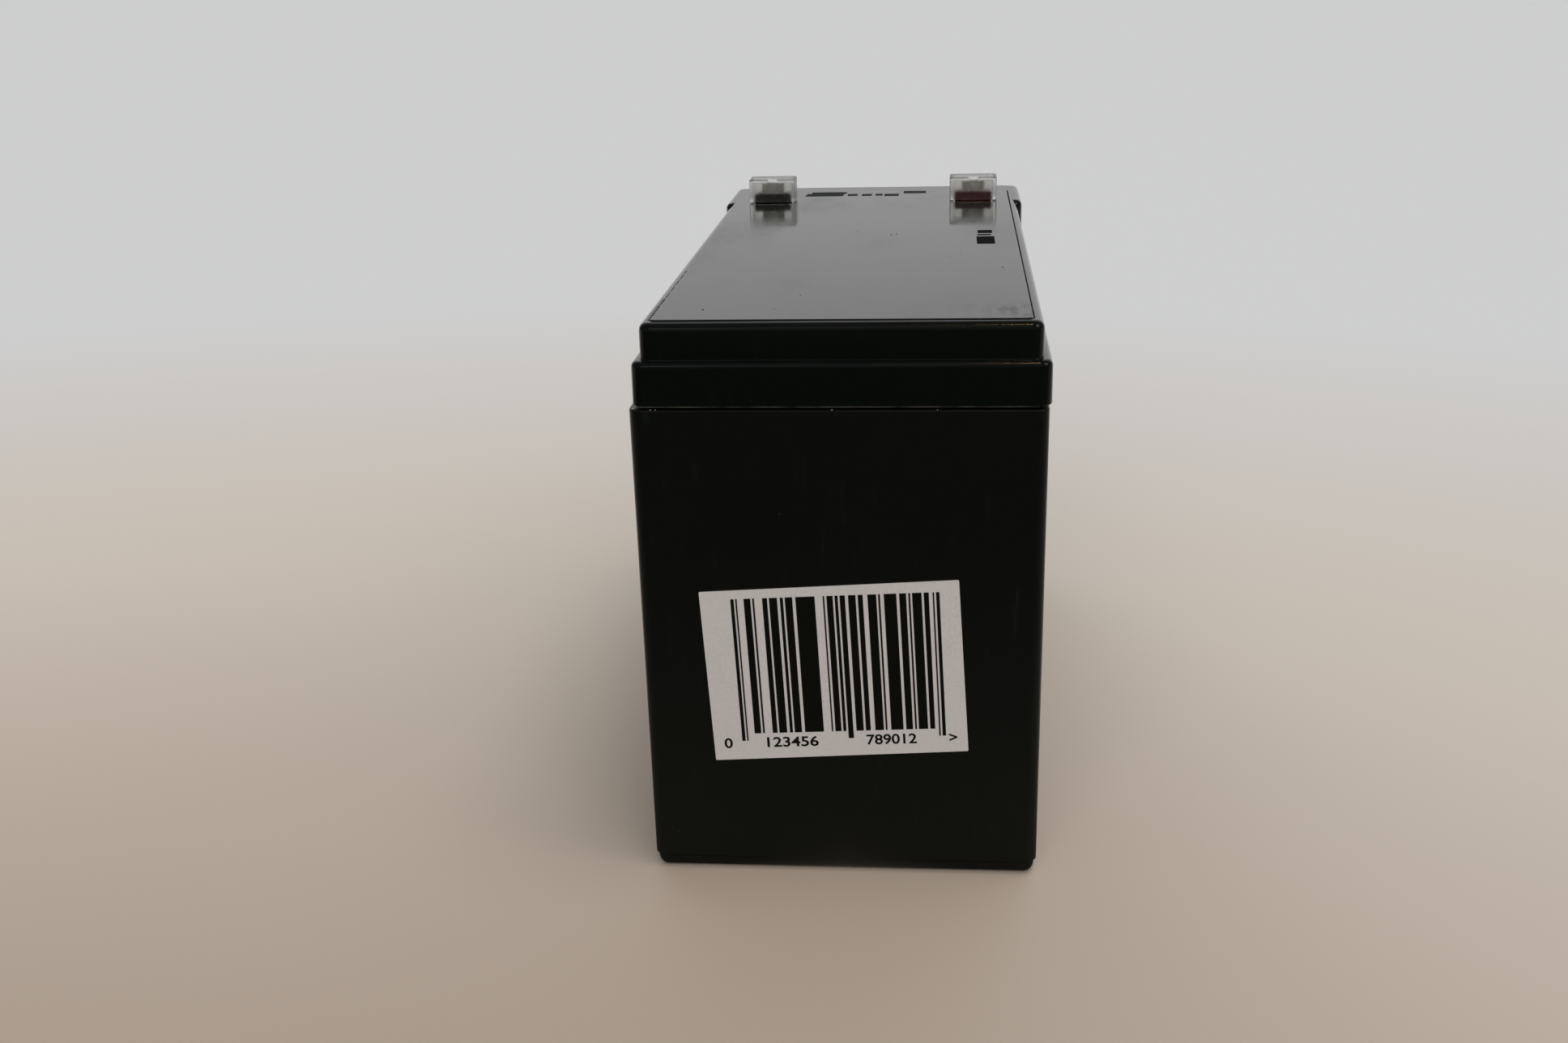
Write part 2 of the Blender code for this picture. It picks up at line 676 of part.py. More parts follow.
def make_valve_caps(finishes):
    """One rubber cap on each vent chimney. It lifts to let gas out and closes again."""
    bore = CHIMNEY_RADIUS + FIT
    roof = CHIMNEY_TOP + FIT
    bottom_round = VALVE_ROUND / 2
    profile = [
        (0.0, VALVE_TOP),
        (VALVE_RADIUS - 2 * VALVE_ROUND, VALVE_TOP),
        (VALVE_RADIUS - VALVE_ROUND / 2, VALVE_TOP - VALVE_ROUND / 3),
        (VALVE_RADIUS, VALVE_TOP - VALVE_ROUND),
        (VALVE_RADIUS, VALVE_BOTTOM + bottom_round),
        (VALVE_RADIUS - bottom_round, VALVE_BOTTOM),
        (bore, VALVE_BOTTOM),
        (bore, roof),
        (0.0, roof),
    ]
    for number, centre in enumerate(vent_centres(), start=1):
        shape = bmesh.new()
        add_turning(shape, profile, closed=False)
        make(f"valve_cap_{number}", shape, finishes["rubber"], (LID_X + centre[0], centre[1], 0))


def pole_name(positive):
    """The pole's name, as the names of its pieces start."""
    return "positive" if positive else "negative"


def make_post(positive, finishes):
    """The lead pillar burned to the end strap, with a spigot for the terminal tab."""
    profile = [
        (0.0, STRAP_TOP + FIT),
        (POST_FLARE_RADIUS, STRAP_TOP + FIT),
        (POST_RADIUS, STRAP_TOP + FIT + POST_FLARE_HEIGHT),
        (POST_RADIUS, POST_TOP),
        (SPIGOT_RADIUS, POST_TOP),
        (SPIGOT_RADIUS, POST_TOP + SPIGOT_HEIGHT),
        (0.0, POST_TOP + SPIGOT_HEIGHT),
    ]
    shape = bmesh.new()
    add_turning(shape, profile, closed=False)
    place = (LID_X + terminal_x(positive), POST_Y, 0)
    make(f"{pole_name(positive)}_post", shape, finishes["lead"], place)


def make_seal_ring(positive, finishes):
    """The rubber ring that seals the post on the floor of its well."""
    tube = SEAL_RING_THICKNESS / 2
    centre = POST_RADIUS + FIT + tube
    angles = [2 * math.pi * step / RING_STEPS for step in range(RING_STEPS)]
    middle_height = SEAL_RING_BOTTOM + tube
    profile = [(centre + tube * math.cos(a), middle_height + tube * math.sin(a)) for a in angles]
    shape = bmesh.new()
    add_turning(shape, profile, closed=True)
    place = (LID_X + terminal_x(positive), POST_Y, 0)
    make(f"{pole_name(positive)}_seal_ring", shape, finishes["rubber"], place)


def tab_profile(grow=0.0):
    """The folded tab seen from the side: a foot on the post and a blade standing at its end."""
    foot_end = POST_Y + TAB_FOOT_REACH + grow
    front = TAB_Y - TAB_THICKNESS / 2 - grow
    back = TAB_Y + TAB_THICKNESS / 2 + grow
    low = FOOT_BOTTOM - grow
    high = FOOT_BOTTOM + TAB_THICKNESS + grow
    top = TAB_TOP + grow
    outer = TAB_BEND + grow
    bend = []
    for step in range(EDGE_STEPS + 1):
        angle = math.pi / 2 * step / EDGE_STEPS
        bend.append((front + outer * (1 - math.sin(angle)), low + outer * (1 - math.cos(angle))))
    return [(foot_end, low), (foot_end, high), (back, high), (back, top), (front, top)] + bend[::-1]


def make_tab(positive, finishes):
    """The tinned blade: a folded strip with a hole over the post's spigot and one in the blade."""
    name = f"{pole_name(positive)}_terminal_tab"
    shape = bmesh.new()
    add_prism(shape, tab_profile(), -TAB_WIDTH / 2, TAB_WIDTH / 2, along_x)
    place = (LID_X + terminal_x(positive), 0, 0)
    tab = make(name, shape, finishes["tinned"], place)
    holes = bmesh.new()
    add_column(holes, SPIGOT_RADIUS + FIT, FOOT_BOTTOM - THROUGH, FOOT_BOTTOM + 2 * THROUGH, (0, POST_Y))
    eye = circle(TAB_HOLE_RADIUS, (0, TAB_TOP - TAB_WIDTH / 2), HOLE_STEPS)
    add_prism(holes, eye, TAB_Y - THROUGH, TAB_Y + THROUGH, along_y)
    cut(tab, f"{name}_hole_cutter", holes)


def make_terminal_base(positive, finishes):
    """The coloured block that locks the tab in its well and stands above the plate as a socket."""
    name = f"{pole_name(positive)}_terminal_base"
    shape = bmesh.new()
    add_block(
        shape, WELL_WIDTH - 2 * FIT, WELL_LENGTH - 2 * FIT, BASE_BOTTOM, WELL_TOP + 2 * FIT,
        CELL_CORNER, (0, POST_Y),
    )
    place = (LID_X + terminal_x(positive), 0, 0)
    base = make(name, shape, finishes["red" if positive else "black"], place)
    neck = bmesh.new()
    add_block(
        neck, BASE_WIDTH, BASE_LENGTH, WELL_TOP + FIT, BASE_TOP, BASE_FILLET, (0, TAB_Y),
        high_round=SMALL_CORNER,
    )
    join(base, f"{name}_neck_form", neck)
    bed = bmesh.new()
    grown = tab_profile(FIT)
    half = TAB_WIDTH / 2 + FIT
    add_prism(bed, grown, -half, half, along_x)
    cut(base, f"{name}_tab_cutter", bed)
    hollow = bmesh.new()
    add_block(
        hollow, BASE_WIDTH - 2 * BASE_SOCKET_WALL, BASE_LENGTH - 2 * BASE_SOCKET_WALL, SOCKET_FLOOR,
        BASE_TOP + THROUGH, SMALL_CORNER, (0, TAB_Y),
    )
    cut(base, f"{name}_socket_cutter", hollow)
    seat = bmesh.new()
    reach = POST_TOP + SPIGOT_HEIGHT + FIT
    centre = (0, POST_Y)
    add_loft(
        seat,
        [
            (circle(POST_RADIUS + FIT, centre), BASE_BOTTOM - THROUGH),
            (circle(POST_RADIUS + FIT, centre), FOOT_BOTTOM + TAB_THICKNESS / 2),
            (circle(SPIGOT_RADIUS + FIT, centre), FOOT_BOTTOM + TAB_THICKNESS / 2),
            (circle(SPIGOT_RADIUS + FIT, centre), reach),
        ],
    )
    cut(base, f"{name}_post_cutter", seat)


def make_terminal_cap(positive, finishes):
    """The clear cap pressed over the blade for transport, with a half round notch at the front."""
    name = f"{pole_name(positive)}_terminal_cap"
    shape = bmesh.new()
    add_block(
        shape, CAP_WIDTH, CAP_LENGTH, CAP_BOTTOM, CAP_TOP, CAP_CORNER, (0, TAB_Y), high_round=CAP_CORNER / 2
    )
    place = (LID_X + terminal_x(positive), 0, 0)
    cap = make(name, shape, finishes["clear"], place)
    inside = bmesh.new()
    add_block(
        inside, CAP_WIDTH - 2 * CAP_WALL, CAP_LENGTH - 2 * CAP_WALL, CAP_BOTTOM - THROUGH,
        CAP_TOP - CAP_WALL, SMALL_CORNER, (0, TAB_Y),
    )
    cut(cap, f"{name}_inside_cutter", inside)
    notch = bmesh.new()
    front = TAB_Y - CAP_LENGTH / 2
    ring = circle(CAP_NOTCH_RADIUS, (0, CAP_TOP), ROUND_STEPS)
    add_prism(notch, ring, front - THROUGH, front + CAP_WALL + FIT, along_y)
    cut(cap, f"{name}_notch_cutter", notch)


def make_label(finishes):
    """The paper barcode label, stuck on a little askew along the tapered end wall."""
    shape = bmesh.new()
    low = FILM
    add_block(shape, LABEL_WIDTH, LABEL_LENGTH, low, low + LABEL_THICKNESS, SMALL_CORNER)
    lean = (RIM_HEIGHT - LABEL_CENTRE_HEIGHT) * WALL_SLOPE
    place = (JAR_X + LABEL_OFFSET, -LENGTH / 2 + lean, LABEL_CENTRE_HEIGHT)
    label = make("barcode_label", shape, finishes["paper"], place)
    label.rotation_mode = "ZYX"
    label.rotation_euler = (math.pi / 2 + math.atan(WALL_SLOPE), 0, LABEL_TILT)


def stack_layers():
    """Low and high X of each plate and mat across a stack, from the stack's middle."""
    negatives, positives, mats = [], [], []
    edge = -STACK_WIDTH / 2

    def lay(layers, thickness):
        nonlocal edge
        layers.append((edge, edge + thickness))
        edge += thickness + STACK_GAP

    for _ in range(PAIRS):
        lay(negatives, NEGATIVE_PLATE)
        lay(mats, MAT_FILLED)
        lay(positives, POSITIVE_PLATE)
        lay(mats, MAT_FILLED)
    lay(negatives, NEGATIVE_PLATE)
    return negatives, positives, mats


def make_plate_group(cell, positive, finishes):
    """One polarity's pasted plates, with their lugs cast into a strap."""
    negatives, positives, _ = stack_layers()
    layers = positives if positive else negatives
    lug_y = LUG_OFFSET * polarity_side(cell, positive)
    half = PLATE_LENGTH / 2
    lug_low, lug_high = lug_y - LUG_WIDTH / 2, lug_y + LUG_WIDTH / 2
    lug_top = STRAP_BOTTOM + LUG_SEAT
    shape = bmesh.new()
    low, high = layers[0][0], layers[-1][1]
    add_block(
        shape, high - low, STRAP_WIDTH, STRAP_BOTTOM, STRAP_TOP, STRAP_CORNER, ((low + high) / 2, lug_y),
        high_round=STRAP_CORNER / 2, edge_steps=HIDDEN_EDGE_STEPS,
    )
    name = f"{pole_name(positive)}_plates_{cell + 1}"
    place = (*cell_centre(cell), 0)
    group = make(name, shape, finishes["brown_paste" if positive else "lead"], place)
    plates = bmesh.new()
    side = [
        (-half, CELL_FLOOR), (half, CELL_FLOOR), (half, PLATES_TOP), (lug_high, PLATES_TOP),
        (lug_high, lug_top), (lug_low, lug_top), (lug_low, PLATES_TOP), (-half, PLATES_TOP),
    ]
    for start, end in layers:
        add_prism(plates, side, start, end, along_x)
    join(group, f"{name}_form", plates)


def make_glass_mat(cell, finishes):
    """One glass mat, folded to and fro between the plates."""
    _, _, mats = stack_layers()
    centres = [(low + high) / 2 for low, high in mats]
    half = PLATE_LENGTH / 2
    path = [(centres[0], half)]
    for index, (here, beyond) in enumerate(zip(centres, centres[1:])):
        side = -1 if index % 2 == 0 else 1
        turn_x, radius = (here + beyond) / 2, (beyond - here) / 2
        for step in range(FOLD_STEPS + 1):
            angle = math.pi * step / FOLD_STEPS
            path.append((turn_x - radius * math.cos(angle), side * (half + radius * math.sin(angle))))
    last_side = 1 if len(centres) % 2 == 0 else -1
    path.append((centres[-1], last_side * half))
    left, right = [], []
    for index, (x, y) in enumerate(path):
        before, after = path[max(index - 1, 0)], path[min(index + 1, len(path) - 1)]
        run_x, run_y = after[0] - before[0], after[1] - before[1]
        size = math.hypot(run_x, run_y)
        offset_x, offset_y = -run_y / size * MAT_FILLED / 2, run_x / size * MAT_FILLED / 2
        left.append((x + offset_x, y + offset_y))
        right.append((x - offset_x, y - offset_y))
    shape = bmesh.new()
    add_prism(shape, left + right[::-1], CELL_FLOOR, PLATES_TOP + MAT_MARGIN, along_z)
    make(f"glass_mat_{cell + 1}", shape, finishes["glass_mat"], (*cell_centre(cell), 0))


def make_cell_link(link, finishes):
    """The lead bridge from one cell's positive strap to the next cell's negative strap."""
    (x, y), crosswise = link_middle(link)
    first, second = cell_centre(link), cell_centre(link + 1)
    if crosswise:
        reach_low, reach_high = first[0] - x, second[0] - x
    else:
        start = first[1] + LUG_OFFSET * polarity_side(link, True) - y
        end = second[1] + LUG_OFFSET * polarity_side(link + 1, False) - y
        reach_low, reach_high = min(start, end), max(start, end)
    low, high = reach_low - LINK_FOOT / 2, reach_high + LINK_FOOT / 2
    profile = [
        (low, LINK_BOTTOM), (low + LINK_FOOT, LINK_BOTTOM), (low + LINK_FOOT + LINK_RISE, LINK_BAR_BOTTOM),
        (high - LINK_FOOT - LINK_RISE, LINK_BAR_BOTTOM), (high - LINK_FOOT, LINK_BOTTOM),
        (high, LINK_BOTTOM), (high, LINK_TOP - LINK_RISE), (high - LINK_RISE, LINK_TOP),
        (low + LINK_RISE, LINK_TOP), (low, LINK_TOP - LINK_RISE),
    ]
    shape = bmesh.new()
    lay = along_y if crosswise else along_x
    add_prism(shape, profile, -LINK_WIDTH / 2, LINK_WIDTH / 2, lay)
    make(f"cell_link_{link + 1}", shape, finishes["lead"], (x, y, 0))


def main():
    for thing in list(bpy.data.objects):
        bpy.data.objects.remove(thing, do_unlink=True)
    finishes = {
        "case": finish("black moulded ABS", "14171a", 0.42),
        "plate": finish("black polished ABS plate", "17191b", 0.16),
        "resin": finish("black epoxy resin", "1a1a1c", 0.35),
        "rubber": finish("black EPDM rubber", "1d1d1d", 0.7),
        "lead": finish("cast lead", "6f7378", 0.5, 0.9),
        "brown_paste": finish("lead dioxide paste", "4a2f24", 0.9),
        "glass_mat": finish("glass mat", "e8e6df", 0.95),
        "tinned": finish("tinned brass", "b9bab8", 0.3, 1.0),
        "red": finish("red terminal resin", "5a1a12", 0.4),
        "black": finish("black terminal resin", "1c1e1a", 0.4),
        "clear": finish("clear vinyl", "d5d6d3", 0.15, alpha=0.45),
        "paper": finish("label paper", "c6bdb9", 0.6),
    }
    make_container(finishes)
    make_lid(finishes)
    make_lid_seal(finishes)
    make_cover_plate(finishes)
    make_valve_caps(finishes)
    for positive in (False, True):
        make_post(positive, finishes)
        make_seal_ring(positive, finishes)
        make_tab(positive, finishes)
        make_terminal_base(positive, finishes)
        make_terminal_cap(positive, finishes)
    make_label(finishes)
    for cell in range(len(FLOOR_SPANS)):
        make_plate_group(cell, True, finishes)
        make_plate_group(cell, False, finishes)
        make_glass_mat(cell, finishes)
    for link in range(len(FLOOR_SPANS) - 1):
        make_cell_link(link, finishes)
    settle()


main()
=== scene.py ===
"""A sealed lead acid battery on a pale studio floor, seen from its labelled end.

Lengths are in metres unless a name or a comment says millimetres. X runs across the battery, Y along
it from the label to the terminals, and Z up from the floor.
"""

import math
import random

import bmesh
import bpy
from mathutils import Matrix, Vector


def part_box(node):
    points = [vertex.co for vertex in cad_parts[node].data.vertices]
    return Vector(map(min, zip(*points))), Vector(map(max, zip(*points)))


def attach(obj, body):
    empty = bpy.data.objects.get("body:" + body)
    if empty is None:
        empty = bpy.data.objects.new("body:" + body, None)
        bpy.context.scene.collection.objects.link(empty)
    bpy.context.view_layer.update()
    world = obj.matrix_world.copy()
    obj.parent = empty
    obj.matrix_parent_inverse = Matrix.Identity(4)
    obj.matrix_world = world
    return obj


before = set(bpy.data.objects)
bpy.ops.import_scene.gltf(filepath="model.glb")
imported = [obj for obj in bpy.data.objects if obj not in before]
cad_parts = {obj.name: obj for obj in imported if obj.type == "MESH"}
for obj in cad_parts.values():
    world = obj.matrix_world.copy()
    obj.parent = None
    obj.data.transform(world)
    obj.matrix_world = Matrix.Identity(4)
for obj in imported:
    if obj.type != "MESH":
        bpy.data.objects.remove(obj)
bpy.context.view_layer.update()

# Container
# One injection moulding of black ABS with tapered walls and a stepped foot.
# The mould's fine spark-eroded surface leaves it satin, and handling leaves dust and light scuffs.
CONTAINER_BLACK = "#080c09"
CONTAINER_WORN = "#0e130f"
DUST_GREY = "#4e4b45"
SMOOTH_BELOW = math.radians(32)


def linear_colour(written):
    """An sRGB hex colour as linear red, green, blue and alpha."""
    channels = [int(written[start : start + 2], 16) / 255 for start in (1, 3, 5)]
    return (*[c / 12.92 if c <= 0.04045 else ((c + 0.055) / 1.055) ** 2.4 for c in channels], 1.0)


def fill_inputs(tree, node, inputs):
    """Sets or links a node's inputs. A socket goes by its identifier or, failing that, by its name."""
    for name, value in inputs.items():
        socket = next(s for s in node.inputs if name in (s.identifier, s.name))
        if isinstance(value, bpy.types.NodeSocket):
            tree.links.new(value, socket)
        else:
            socket.default_value = value


def add_node(tree, kind, inputs, output, **settings):
    """Adds a node with its settings and its inputs, and gives back the named output."""
    node = tree.nodes.new(kind)
    for name, value in settings.items():
        setattr(node, name, value)
    fill_inputs(tree, node, inputs)
    return next((s for s in node.outputs if output in (s.identifier, s.name)), node)


def per_metre(millimetres):
    """The texture scale at which a pattern's cells have this size."""
    return 1000 / millimetres


def start_material(name):
    """A new material with its node tree, its shader and the piece's own coordinates."""
    material = bpy.data.materials.new(name)
    material.use_nodes = True
    tree = material.node_tree
    place = add_node(tree, "ShaderNodeTexCoord", {}, "Object")
    return material, tree, tree.nodes["Principled BSDF"], place


def dust(tree, place, spacing, size):
    """A mask of specks in about half the cells of a pattern. Spacing and size are in millimetres."""
    away = add_node(
        tree, "ShaderNodeTexVoronoi",
        {"Vector": place, "Scale": per_metre(spacing), "Randomness": 1.0}, "Distance",
    )
    near = add_node(
        tree, "ShaderNodeMapRange",
        {"Value": away, "From Min": size / spacing, "From Max": 0.5 * size / spacing}, "Result",
    )
    draw = add_node(tree, "ShaderNodeSeparateColor", {"Color": away.node.outputs["Color"]}, "Red")
    chosen = add_node(
        tree, "ShaderNodeMapRange", {"Value": draw, "From Min": 0.55, "From Max": 0.6}, "Result"
    )
    return add_node(
        tree, "ShaderNodeMath", {"Value": near, "Value_001": chosen}, "Value", operation="MULTIPLY"
    )


def moulded_abs(name, black, worn, smooth, rough, grain_depth):
    """Satin black ABS: an even dark sheen, a grain that only shows close up, and pale dust."""
    material, tree, shader, place = start_material(name)
    patches = add_node(
        tree, "ShaderNodeTexNoise",
        {"Vector": place, "Scale": per_metre(14.0), "Detail": 3.0, "Roughness": 0.5}, "Fac",
    )
    upright = add_node(tree, "ShaderNodeMapping", {"Vector": place, "Scale": (1.0, 1.0, 0.15)}, "Vector")
    scuffs = add_node(
        tree, "ShaderNodeTexNoise",
        {"Vector": upright, "Scale": per_metre(1.6), "Detail": 4.0, "Roughness": 0.65}, "Fac",
    )
    wear = add_node(
        tree, "ShaderNodeMapRange", {"Value": scuffs, "From Min": 0.60, "From Max": 0.75}, "Result"
    )
    plastic = add_node(
        tree, "ShaderNodeMix",
        {"Factor_Float": wear, "A_Color": linear_colour(black), "B_Color": linear_colour(worn)},
        "Result_Color", data_type="RGBA",
    )
    specks = dust(tree, place, spacing=4.0, size=0.10)
    dusty = add_node(
        tree, "ShaderNodeMix",
        {"Factor_Float": specks, "A_Color": plastic, "B_Color": linear_colour(DUST_GREY)},
        "Result_Color", data_type="RGBA",
    )
    handled = add_node(
        tree, "ShaderNodeMath", {"Value": patches, "Value_001": wear}, "Value", operation="ADD"
    )
    sheen = add_node(
        tree, "ShaderNodeMapRange",
        {"Value": handled, "From Min": 0.3, "From Max": 1.3, "To Min": smooth, "To Max": rough}, "Result",
    )
    # The real grain is about 0.05 mm across, and it is drawn at 0.25 mm so that it shows.
    grain = add_node(
        tree, "ShaderNodeTexNoise",
        {"Vector": place, "Scale": per_metre(0.25), "Detail": 2.0, "Roughness": 0.5}, "Fac",
    )
    relief = add_node(
        tree, "ShaderNodeBump", {"Height": grain, "Distance": grain_depth, "Strength": 1.0}, "Normal"
    )
    fill_inputs(tree, shader, {"Base Color": dusty, "Roughness": sheen, "Normal": relief})
    return material


def joined_facets():
    """A step that welds a solid's facets and shades them smooth up to its real edges."""
    tree = bpy.data.node_groups.new("joined facets", "GeometryNodeTree")
    for direction in ("INPUT", "OUTPUT"):
        tree.interface.new_socket("Geometry", in_out=direction, socket_type="NodeSocketGeometry")
    solid = add_node(tree, "NodeGroupInput", {}, "Geometry")
    welded = add_node(
        tree, "GeometryNodeMergeByDistance", {"Geometry": solid, "Distance": 0.000001}, "Geometry"
    )
    smooth = add_node(tree, "GeometryNodeSetShadeSmooth", {"Geometry": welded}, "Geometry")
    angle = add_node(tree, "GeometryNodeInputMeshEdgeAngle", {}, "Unsigned Angle")
    edge = add_node(
        tree, "FunctionNodeCompare", {"A": angle, "B": SMOOTH_BELOW}, "Result", operation="GREATER_THAN"
    )
    crisp = add_node(
        tree, "GeometryNodeSetShadeSmooth",
        {"Geometry": smooth, "Selection": edge, "Shade Smooth": False}, "Geometry", domain="EDGE",
    )
    add_node(tree, "NodeGroupOutput", {"Geometry": crisp}, None)
    return tree


FACETS = joined_facets()


def dress(node, material):
    """Gives a solid of the frame its finish and shades its round edges smooth."""
    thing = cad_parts[node]
    thing.data.materials.clear()
    thing.data.materials.append(material)
    thing.modifiers.new("joined facets", "NODES").node_group = FACETS
    thing.modifiers.new("flat faces stay flat", "WEIGHTED_NORMAL").keep_sharp = True


dress(
    "container",
    moulded_abs(
        "injection moulded ABS, satin", CONTAINER_BLACK, CONTAINER_WORN,
        smooth=0.34, rough=0.46, grain_depth=0.000006,
    ),
)

# Lid
# A second ABS moulding, bonded to the container's rim, with two tiers and a wider shoulder
# round the terminals. Its faces are a little glossier than the container's.
LID_BLACK = "#060a08"
LID_WORN = "#0a0e0c"
lid_abs = moulded_abs(
    "injection moulded ABS, semi gloss", LID_BLACK, LID_WORN, smooth=0.10, rough=0.17, grain_depth=0.000002
)
dress("lid", lid_abs)

# Cells
# Each cell holds grey negative and brown positive plates with a glass mat folded between them.
# The case hides all of it, as it hides the links, the posts, their rings and the sealing resin.
LEAD_DARK = "#5b5f63"
LEAD_LIGHT = "#8b9094"
PASTE_DARK = "#3c261d"
PASTE_LIGHT = "#5b3a2c"
MAT_WHITE = "#e6e4dc"
MAT_SHADE = "#c9c5b8"
RUBBER_BLACK = "#1b1b1b"
RUBBER_BLOOM = "#2c2c2b"
RESIN_BLACK = "#101012"
RESIN_HAZE = "#1d1d21"


def clouded(name, dark, light, lump, rough, metallic=0.0, grain=0.3):
    """A dull surface that drifts between two colours, with lumps and a grain in millimetres."""
    material, tree, shader, place = start_material(name)
    drift = add_node(
        tree, "ShaderNodeTexNoise",
        {"Vector": place, "Scale": per_metre(lump), "Detail": 5.0, "Roughness": 0.6}, "Fac",
    )
    cloud = add_node(
        tree, "ShaderNodeMapRange", {"Value": drift, "From Min": 0.35, "From Max": 0.65}, "Result"
    )
    colour = add_node(
        tree, "ShaderNodeMix",
        {"Factor_Float": cloud, "A_Color": linear_colour(dark), "B_Color": linear_colour(light)},
        "Result_Color", data_type="RGBA",
    )
    dulling = add_node(
        tree, "ShaderNodeMapRange", {"Value": cloud, "To Min": rough - 0.08, "To Max": rough + 0.05}, "Result"
    )
    grains = add_node(
        tree, "ShaderNodeTexNoise",
        {"Vector": place, "Scale": per_metre(grain), "Detail": 3.0, "Roughness": 0.5}, "Fac",
    )
    relief = add_node(
        tree, "ShaderNodeBump", {"Height": grains, "Distance": 0.00003, "Strength": 1.0}, "Normal"
    )
    fill_inputs(
        tree, shader, {"Base Color": colour, "Roughness": dulling, "Metallic": metallic, "Normal": relief}
    )
    return material


lead = clouded("cast lead, oxidised", LEAD_DARK, LEAD_LIGHT, lump=4.0, rough=0.5, metallic=0.9)
paste = clouded("pasted lead dioxide, dry", PASTE_DARK, PASTE_LIGHT, lump=1.5, rough=0.9)
glass_mat = clouded("absorbent glass mat, felted", MAT_SHADE, MAT_WHITE, lump=0.8, rough=0.92)
rubber = clouded("EPDM rubber, moulded", RUBBER_BLACK, RUBBER_BLOOM, lump=2.0, rough=0.68)
resin = clouded("epoxy resin, poured", RESIN_BLACK, RESIN_HAZE, lump=6.0, rough=0.25, grain=2.0)
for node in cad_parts:
    if node.startswith("positive_plates"):
        dress(node, paste)
    elif node.startswith(("negative_plates", "cell_link")) or node.endswith("_post"):
        dress(node, lead)
    elif node.startswith("glass_mat"):
        dress(node, glass_mat)
    elif node.startswith("valve_cap") or node.endswith("_seal_ring"):
        dress(node, rubber)
dress("lid_resin_seal", resin)

# Cover plate
# An ABS plate from a polished mould, welded into the lid over the valves so that it stands slightly
# proud. It mirrors the room at a low angle, and wiping has left smears, fine scratches and specks.
PLATE_BLACK = "#0a0c0a"
PLATE_SMEAR = "#141715"
SMEARS_DULL = 1.8
SCRATCHES_DULL = 0.4
# Each smudge has its X and Y, how far it reaches along X, and how much it dulls the plate.
SMUDGES = ((0.0275, -0.0668, 0.014, 1.7), (0.0250, -0.0330, 0.010, 0.7), (-0.0090, -0.0450, 0.016, 0.5))
SMUDGE_NARROWING = 1.6
SMUDGE_CORE = 0.2


